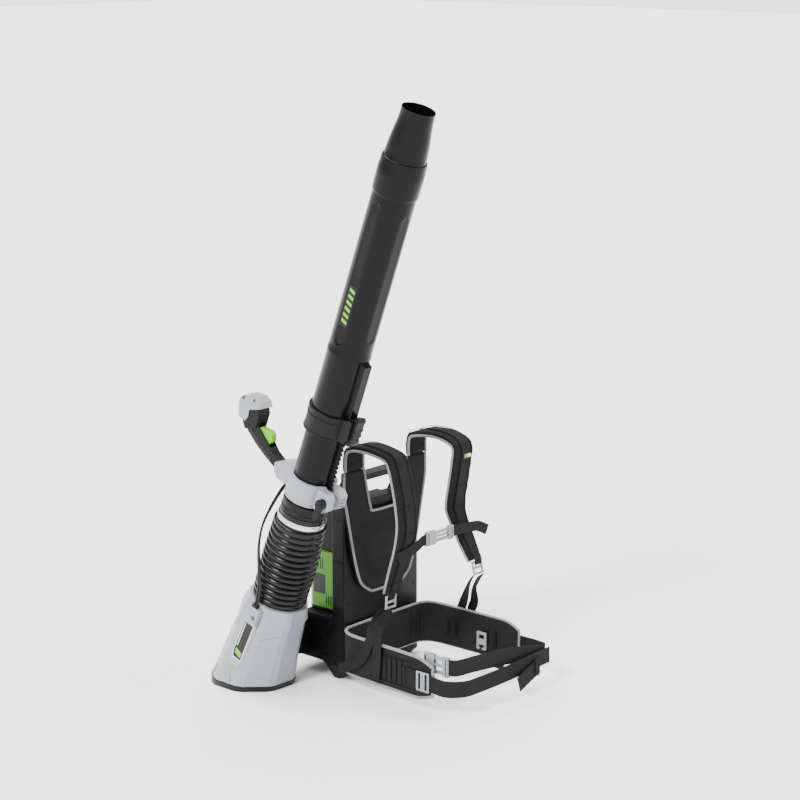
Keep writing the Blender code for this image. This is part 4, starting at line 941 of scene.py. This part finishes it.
def battery():
    refine("battery", "green", 0.0032, 4)
    low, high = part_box("battery")
    ring = [(-0.091, 0.0134), (0.091, 0.0134), (0.0976, 0.0218), (0.0976, 0.0974), (0.0863, 0.1117)]
    ring += [(-0.0863, 0.1117), (-0.0976, 0.0974), (-0.0976, 0.0218)]
    foot = swept([[(x, y, z) for x, y in ring] for z in (low.z + 0.0004, low.z + 0.0085)])
    piece("battery_foot", foot, "black", "battery", bevel=0.001)
    for side in (-1, 1):
        wide = sorted((side * (high.x - 0.001), side * (high.x + 0.0006)))
        spans = [(0.03 + 0.007 * k, 0.156, 0.178) for k in range(4)]
        spans += [(0.062 + 0.007 * k, 0.238, 0.266) for k in range(4)]
        # Each vent is a black box proud of the side: painted shade standing in for the slot's dark inside.
        for k, (y, z0, z1) in enumerate(spans):
            slot = box((wide[0], y, z0), (wide[1], y + 0.0028, z1))
            piece(f"battery_vent_{side + 1}_{k}", slot, "label", "battery", bevel=0.0003)
        label = box((wide[0], 0.056, 0.18), (wide[1], 0.092, 0.226))
        piece(f"battery_label_{side + 1}", label, "label", "battery", bevel=0.0003)
        recess = [(0.026, 0.186), (0.05, 0.186), (0.05, 0.262), (0.034, 0.262), (0.026, 0.25)]
        piece(f"battery_step_{side + 1}", prism_x(recess, *wide), "green", "battery", bevel=0.0005)
    for k in range(9):
        x = -0.064 + k * 0.016
        rib = box((x - 0.002, 0.1102, 0.158), (x + 0.002, 0.1122, 0.232))
        piece(f"battery_rib_{k}", rib, "green", "battery", bevel=0.0008)
    gauge = box((-0.026, 0.1102, 0.244), (0.026, 0.112, 0.258))
    piece("battery_gauge", gauge, "label", "battery", bevel=0.0005)
    for k in range(5):
        x = -0.02 + k * 0.0085
        light = box((x, 0.1115, 0.248), (x + 0.0055, 0.1123, 0.254))
        piece(f"battery_light_{k}", light, "lime", "battery", bevel=0.0002)


# ---------------------------------------------------------------- harness
PAD_HALF = [(0.038, 0.1965), (0.053, 0.2005), (0.08, 0.221), (0.095, 0.256), (0.109, 0.309)]
PAD_HALF += [(0.126, 0.3885), (0.136, 0.4385), (0.136, 0.488), (0.072, 0.488), (0.06, 0.4335)]
PAD_HALF += [(0.05, 0.3955), (0.04, 0.3845)]
PAD_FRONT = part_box("back_pad")[0].y
PAD_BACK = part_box("back_pad")[1].y


def back_pad():
    """A quilted pad with two horns that run up into the shoulder straps."""
    outside = PAD_HALF[:8]
    inside = PAD_HALF[8:]
    outer_edge = [(-x, z) for x, z in reversed(outside)] + outside
    inner_edge = inside + [(-x, z) for x, z in reversed(inside)]
    lines = []
    for name, knots in (("outer", outer_edge), ("inner", inner_edge)):
        front = PAD_FRONT + 0.0045
        path = smooth_path([(x, front, z) for x, z in knots], 6)
        bead(f"pad_piping_{name}", path)
        lines.append(path)
    outline = [(p.x, p.z) for p in lines[0]] + [(p.x, p.z) for p in lines[1]]
    shape = prism_y(outline, PAD_FRONT + 0.0045, PAD_BACK)
    back = [[Vector((p.x, PAD_BACK, p.z)) for p in line] for line in lines]
    soft("back_pad_cover", shape, lines + back, 0.0055, "back_pad", look="lining")


STRAP_THICK = 0.015
STRAPS = {
    "right": [
        (-0.1045, -0.039, 0.4895), (-0.104, -0.0385, 0.5165), (-0.1035, -0.043, 0.5385),
        (-0.103, -0.064, 0.548), (-0.103, -0.098, 0.55), (-0.103, -0.137, 0.546),
        (-0.103, -0.164, 0.538), (-0.103, -0.1755, 0.5185), (-0.103, -0.1845, 0.4875),
        (-0.103, -0.1955, 0.4355), (-0.103, -0.1995, 0.3855), (-0.1035, -0.19, 0.3385),
        (-0.1045, -0.172, 0.2865), (-0.106, -0.1545, 0.2315),
    ],
    "left": [
        (0.106, -0.039, 0.4895), (0.106, -0.0385, 0.5165), (0.1055, -0.044, 0.536),
        (0.104, -0.064, 0.545), (0.1, -0.101, 0.5515), (0.098, -0.137, 0.552),
        (0.096, -0.172, 0.545), (0.096, -0.1885, 0.529), (0.096, -0.185, 0.492),
        (0.096, -0.177, 0.444), (0.096, -0.1695, 0.399), (0.0965, -0.174, 0.371),
        (0.099, -0.201, 0.3145), (0.103, -0.2195, 0.2755),
    ],
}


def strap_width(share):
    return 0.06 - max(0.0, share - 0.8) * 0.1


def frames_along(path):
    """(point, inward normal, share of the way) at each point of a strap's path."""
    last = len(path) - 1
    found = []
    for i, point in enumerate(path):
        ahead = (path[min(i + 1, last)] - path[max(i - 1, 0)]).normalized()
        side = (ACROSS - ahead * ACROSS.dot(ahead)).normalized()
        found.append((point, side, side.cross(ahead), i / last))
    return found


def shoulder_straps():
    for name, knots in STRAPS.items():
        path = smooth_path(knots, 6)
        along = frames_along(path)
        edges = []
        for side_sign in (-1, 1):
            for deep in (-1, 1):
                reach = STRAP_THICK * 0.36 * deep
                wide = [s * side_sign * (strap_width(t) / 2 - 0.001) for _, s, _, t in along]
                edges.append([p + w + d * reach for (p, _, d, _), w in zip(along, wide)])
        shape, _ = ribbon(path, lambda t: strap_width(t) - 0.002, STRAP_THICK * 0.72, across=ACROSS)
        soft(f"shoulder_strap_{name}_cover", shape, edges, 0.0034, f"shoulder_strap_{name}")
        low = STRAP_THICK / 2 - 0.0022
        rim = [p - s * (strap_width(t) / 2 - 0.001) + d * low for p, s, d, t in along]
        rim += [p + s * (strap_width(t) / 2 - 0.001) + d * low for p, s, d, t in reversed(along)]
        bead(f"strap_piping_{name}", rim)
        high = -STRAP_THICK / 2 + 0.0026
        for edge in (-1, 1):
            wide = [s * edge * (strap_width(t) / 2 - 0.0115) for _, s, _, t in along[4:]]
            seam = [p + w + d * (high - 0.004) for (p, _, d, _), w in zip(along[4:], wide)]
            bead(f"strap_seam_{name}_{edge + 1}", seam, 0.0008, look="thread")
        centre = [p for p, s, d, t in along[22:]]
        shape, uvs = ribbon(centre, 0.026, 0.0016, across=ACROSS, lift=-STRAP_THICK / 2 - 0.0006)
        piece(f"strap_band_{name}", shape, "webbing", "frame", bevel=0.0004, smooth=50, uvs=uvs)
        for k, spot in enumerate(range(40, len(path) - 3, 7)):
            bar = path[spot:spot + 2]
            shape, uvs = ribbon(bar, 0.029, 0.0022, across=ACROSS, lift=-STRAP_THICK / 2 - 0.0014)
            piece(f"strap_bar_{name}_{k}", shape, "webbing", "frame", bevel=0.0005, smooth=50, uvs=uvs)
    point, side, deep, _ = frames_along(smooth_path(STRAPS["left"], 6))[45]
    at = point + side * 0.006 - deep * (STRAP_THICK / 2 + 0.0014)
    tag = box((at.x - 0.013, at.y - 0.0009, at.z - 0.0065), (at.x + 0.013, at.y + 0.0009, at.z + 0.0065))
    piece("strap_tag", tag, "label", "frame", bevel=0.0006)
    for name, left, right, look in (("green", -0.0105, -0.0045, "lime"), ("pale", -0.002, 0.0105, "pale")):
        mark = box((at.x + left, at.y - 0.0013, at.z - 0.0035), (at.x + right, at.y, at.z + 0.0035))
        piece(f"strap_tag_{name}", mark, look, "frame", bevel=0.0002)


def wrap_facing(share, side):
    """Which way the flat of the webbing looks: forwards, then outwards, then up into the base's slot."""
    forwards = max(0.0, 0.3 - share)
    upwards = max(0.0, share - 0.7)
    return (side * (share + 0.02) * max(0.0, 1 - 3.4 * upwards), -forwards, 3 * upwards)


def shoulder_webbing():
    right = [(-0.1075, -0.147, 0.1895), (-0.127, -0.136, 0.1735), (-0.152, -0.14, 0.1525)]
    right += [(-0.167, -0.144, 0.1315), (-0.168, -0.129, 0.0965), (-0.167, -0.102, 0.0705)]
    right += [(-0.164, -0.072, 0.0545), (-0.154, -0.042, 0.0425)]
    left = [(0.104, -0.218, 0.235), (0.114, -0.198, 0.2115), (0.132, -0.173, 0.1785)]
    left += [(0.15, -0.148, 0.1445), (0.156, -0.133, 0.1205), (0.157, -0.105, 0.0785)]
    left += [(0.155, -0.072, 0.0555), (0.146, -0.042, 0.0425)]
    for name, knots, side in (("right", right, -1), ("left", left, 1)):
        knots += [(side * 0.14, -0.024, 0.0355), (side * 0.129, -0.014, 0.0331)]
        knots.append((side * 0.112, -0.0125, 0.033))
        facing = lambda share, side=side: wrap_facing(share, side)
        band(f"strap_webbing_{name}_band", knots, 0.024, node=f"strap_webbing_{name}", facing=facing)
    right = [(-0.108, -0.159, 0.187), (-0.134, -0.151, 0.1715), (-0.159, -0.163, 0.1535)]
    right += [(-0.1725, -0.172, 0.1315), (-0.173, -0.17, 0.0885), (-0.173, -0.166, 0.0485)]
    left = [(0.105, -0.237, 0.2335), (0.124, -0.209, 0.2115), (0.143, -0.188, 0.1815)]
    left += [(0.159, -0.173, 0.1485), (0.1625, -0.162, 0.1235), (0.1625, -0.159, 0.0525)]
    for name, knots, side in (("right", right, -1), ("left", left, 1)):
        facing = lambda share, side=side: (side * share, -max(0.0, 0.5 - share), 0.0)
        band(f"strap_tail_{name}_band", knots, 0.024, node=f"strap_tail_{name}", facing=facing)
    loops = {
        "right": [(-0.106, -0.16, 0.242), (-0.1062, -0.1575, 0.228), (-0.1064, -0.153, 0.217)],
        "left": [(0.103, -0.226, 0.286), (0.103, -0.23, 0.274), (0.103, -0.229, 0.263)],
    }
    for name, knots in loops.items():
        band(f"strap_loop_{name}", knots, 0.024, across=ACROSS)
        refine(f"strap_slide_{name}", "buckle", 0.001, 3)


def sternum_strap():
    height, front = 0.35, -0.206
    right = [(-0.133, -0.199, 0.324), (-0.104, -0.205, 0.3325), (-0.076, -0.207, 0.343)]
    right += [(-0.062, -0.2062, 0.349), (-0.0455, front, height)]
    band("sternum_webbing_right_band", right, 0.024, node="sternum_webbing_right", across=UP)
    left = [(0.037, front, height), (0.055, -0.205, 0.3495), (0.074, -0.204, 0.348)]
    left += [(0.101, -0.204, 0.346), (0.131, -0.205, 0.3425), (0.162, -0.207, 0.328)]
    start, end = (0.0405, front, height), (0.098, front, height)
    shared_band("sternum_webbing_left", left, 0.024, "sternum_clip", start, end)
    refine("sternum_buckle_female", "buckle", 0.0011, 3)
    refine("sternum_buckle_male", "buckle", 0.0009, 3)


BELT_PATHS = {
    "hip_back_panel": [
        (-0.118, -0.0385), (-0.06, -0.0373), (0.0, -0.0373), (0.06, -0.0373), (0.118, -0.0385),
    ],
    "hip_wing_right": [
        (-0.118, -0.0385), (-0.139, -0.051), (-0.152, -0.08), (-0.157, -0.15),
        (-0.16, -0.23), (-0.165, -0.33),
    ],
    "hip_wing_left": [
        (0.118, -0.0385), (0.135, -0.051), (0.144, -0.08), (0.146, -0.15), (0.1475, -0.23),
        (0.147, -0.312),
    ],
}
BELT_CORNER = {"hip_back_panel": 0.0, "hip_wing_right": 0.12, "hip_wing_left": 0.12}


def belt_width(share, corner):
    near_end = max(0.0, share - 1 + corner) / max(corner, 0.001)
    return BELT_HIGH - BELT_LOW - 0.002 - 0.03 * near_end**2


def hip_belt():
    middle = (BELT_LOW + BELT_HIGH) / 2
    for name, knots in BELT_PATHS.items():
        corner = BELT_CORNER[name]
        path = smooth_path([(x, y, middle) for x, y in knots], 8)
        last = len(path) - 1
        halves = [belt_width(i / last, corner) / 2 for i in range(len(path))]
        top = [p + UP * h for p, h in zip(path, halves)]
        low = [p - UP * h for p, h in zip(path, halves)]
        end = [[top[-1], low[-1]], [top[0], low[0]]]
        rows = [[a + (b - a) * k / 12 for k in range(13)] for a, b in end]
        shape, _ = ribbon(path, lambda t: belt_width(t, corner), 0.008, across=UP)
        soft(f"{name}_cover", shape, [top, low, *rows], 0.003, name, look="lining")
        outside = Vector((1, 0, 0)) * (0.0032 if knots[0][0] > 0 else -0.0032)
        if corner:
            edge = top + rows[0][1:-1] + low[::-1]
            bead(f"{name}_piping", [p + outside for p in edge], 0.0036)
        else:
            bead(f"{name}_piping_top", top, 0.0034)
            bead(f"{name}_piping_low", low, 0.0034)


def belt_details():
    """Loops and a boxed cross on the right wing's outside, and dark ovals of painted shade for the slots
    inside the left wing.
    """
    x = -0.1655
    for k, y in enumerate((-0.188, -0.204, -0.22, -0.236)):
        lean = -0.0025 * k * 0.4
        knots = [(x + lean, y, 0.106), (x + lean - 0.001, y, 0.08), (x + lean, y, 0.054)]
        band(f"belt_loop_{k}", knots, 0.0085, 0.0018, facing=lambda share: (-1, 0, 0))
    for k, z in enumerate((0.05, 0.11)):
        knots = [(x + 0.003, -0.14, z), (x, -0.205, z), (x - 0.0028, -0.285, z)]
        bead(f"belt_seam_{k}", smooth_path(knots, 4), 0.0009, look="thread")
    corners = [(-0.25, 0.062), (-0.282, 0.062), (-0.282, 0.098), (-0.25, 0.098)]
    square = [Vector((x - 0.0034, y, z)) for y, z in corners]
    for k, (a, b) in enumerate(((0, 1), (1, 2), (2, 3), (3, 0), (0, 2), (1, 3))):
        bead(f"belt_stitch_{k}", [square[a], square[b]], 0.0008, look="thread")
    inner = 0.1404
    for k, y in enumerate((-0.112, -0.136, -0.226, -0.25)):
        outline = []
        for turn in range(24):
            angle = 2 * math.pi * turn / 24
            rise = 0.014 if math.sin(angle) > 0 else -0.014
            outline.append((y + 0.0052 * math.cos(angle), 0.08 + rise + 0.0052 * math.sin(angle)))
        # Each slot is a dark oval across the wing's inside: painted shade standing in for the opening's
        # hollow.
        slot = prism_x(outline, inner - 0.0022, inner + 0.003)
        piece(f"wing_slot_painted_shade_{k}", slot, "thread", "frame", bevel=0.0006)
    clip = box((inner - 0.0085, -0.23, 0.05), (inner - 0.0035, -0.203, 0.092))
    obj = mesh_object("belt_clip", clip, "buckle")
    slots = ((0.076, 0.086), (0.055, 0.062))
    carve(obj, *[box((0.1, -0.2245, low), (0.2, -0.2085, high)) for low, high in slots])
    soften(obj, 0.001, 3)
    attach(obj, "frame")
    drop = [(inner - 0.0045, -0.2165, 0.06), (inner - 0.01, -0.224, 0.047)]
    drop += [(inner - 0.024, -0.25, 0.041), (inner - 0.042, -0.286, 0.04)]
    drop.append((inner - 0.06, -0.325, 0.045))
    band("belt_clip_strap", drop, 0.013, 0.0014, facing=lambda share: (-1, -0.7, 0.2))
    for k, xx in enumerate((-0.085, 0.085)):
        seam = [(xx, -0.047, z) for z in (BELT_LOW + 0.008, 0.08, BELT_HIGH - 0.008)]
        bead(f"back_panel_seam_{k}", [Vector(p) for p in seam], 0.0009, look="thread")


def hip_webbing():
    height = 0.117
    right = [(-0.1674, -0.24, 0.0785), (-0.1701, -0.29, 0.0785), (-0.1722, -0.33, 0.077)]
    right += [(-0.165, -0.362, 0.072), (-0.132, -0.386, 0.069), (-0.089, -0.3905, 0.068)]
    right += [(-0.009, -0.396, 0.0705), (0.081, -0.401, 0.076), (0.147, -0.402, 0.079)]
    band("hip_webbing_right_band", right, 0.037, node="hip_webbing_right", across=UP)
    left = [(-0.153, -0.356, height), (-0.147, -0.373, height), (-0.129, -0.379, 0.1165)]
    left += [(-0.079, -0.381, 0.1135), (0.031, -0.388, 0.103), (0.121, -0.393, 0.087)]
    left += [(0.144, -0.3905, 0.083), (0.1535, -0.378, 0.082), (0.156, -0.34, 0.082)]
    left.append((0.1545, -0.24, 0.082))
    start, end = (-0.13, -0.38, height), (0.08, -0.39, height)
    shared_band("hip_webbing_left", left, 0.037, "hip_clip", start, end)
    tail = [(0.104, -0.4058, 0.065), (0.068, -0.4068, 0.053), (0.03, -0.408, 0.04)]
    band("hip_tail_band", tail, 0.037, node="hip_tail", across=UP)
    keeper = [(0.096, -0.4085, 0.084), (0.096, -0.4095, 0.064), (0.096, -0.4085, 0.044)]
    band("hip_keeper", keeper, 0.015, 0.0016, facing=lambda share: (0, -1, 0))
    refine("hip_slide", "buckle", 0.001, 3)
    refine("hip_buckle_female", "buckle", 0.0012, 3)
    refine("hip_buckle_male", "buckle", 0.0011, 3)


# ---------------------------------------------------------------- studio
def soft_sun(name, toward, power, angle):
    light = bpy.data.lights.new(name, "SUN")
    light.energy = power
    light.angle = math.radians(angle)
    obj = bpy.data.objects.new(name, light)
    obj.rotation_euler = Vector(toward).to_track_quat("-Z", "Y").to_euler()
    bpy.context.scene.collection.objects.link(obj)


def studio():
    corners = [(-30, -30, 0), (30, -30, 0), (30, 30, 0), (-30, 30, 0)]
    floor = mesh_object("floor", (corners, [(0, 1, 2, 3)]), "pale")
    g = Graph("floor_paper")
    where = g.add("ShaderNodeTexCoord").outputs["Object"]
    slow = g.noise(where, 1.2, 2.0)
    g.feed(g.shader, {"Base Color": g.blend(slow, (0.86, 0.86, 0.86, 1.0), (0.89, 0.89, 0.89, 1.0))})
    g.feed(g.shader, {"Roughness": 0.9})
    floor.data.materials.clear()
    floor.data.materials.append(g.material)
    world = bpy.data.worlds.new("studio")
    world.use_nodes = True
    nodes, links = world.node_tree.nodes, world.node_tree.links
    where = nodes.new("ShaderNodeTexCoord")
    height = nodes.new("ShaderNodeSeparateXYZ")
    glow = nodes.new("ShaderNodeMapRange")
    for socket, value in zip(("From Min", "From Max", "To Min", "To Max"), (0.02, 0.3, 2.5, 0.4)):
        glow.inputs[socket].default_value = value
    links.new(where.outputs["Generated"], height.inputs["Vector"])
    links.new(height.outputs["Z"], glow.inputs["Value"])
    links.new(glow.outputs["Result"], nodes["Background"].inputs["Strength"])
    nodes["Background"].inputs["Color"].default_value = (1.0, 1.0, 1.0, 1.0)
    bpy.context.scene.world = world
    soft_sun("key", (1.0, 0.15, -0.8), 4.6, 12)
    soft_sun("front", (-0.95, 0.85, -0.7), 1.2, 24)
    soft_sun("top", (-0.2, -0.3, -1.9), 7.5, 60)
    camera = bpy.data.cameras.new("camera")
    camera.lens = 96.75
    camera.sensor_width = 36.0
    obj = bpy.data.objects.new("camera", camera)
    obj.location = (-3.48695, -3.18178, 1.68946)
    look = Vector((0.04385, -0.04699, 0.62541)) - obj.location
    obj.rotation_euler = look.to_track_quat("-Z", "Y").to_euler()
    bpy.context.scene.collection.objects.link(obj)
    bpy.context.scene.camera = obj


studio()
carried_over()
fan_housing()
hose()
cables()
rear_tube()
cuff_and_band()
handle()
front_tube()
collar_and_nozzle()
carrying_frame()
battery()
back_pad()
shoulder_straps()
shoulder_webbing()
sternum_strap()
hip_belt()
belt_details()
hip_webbing()
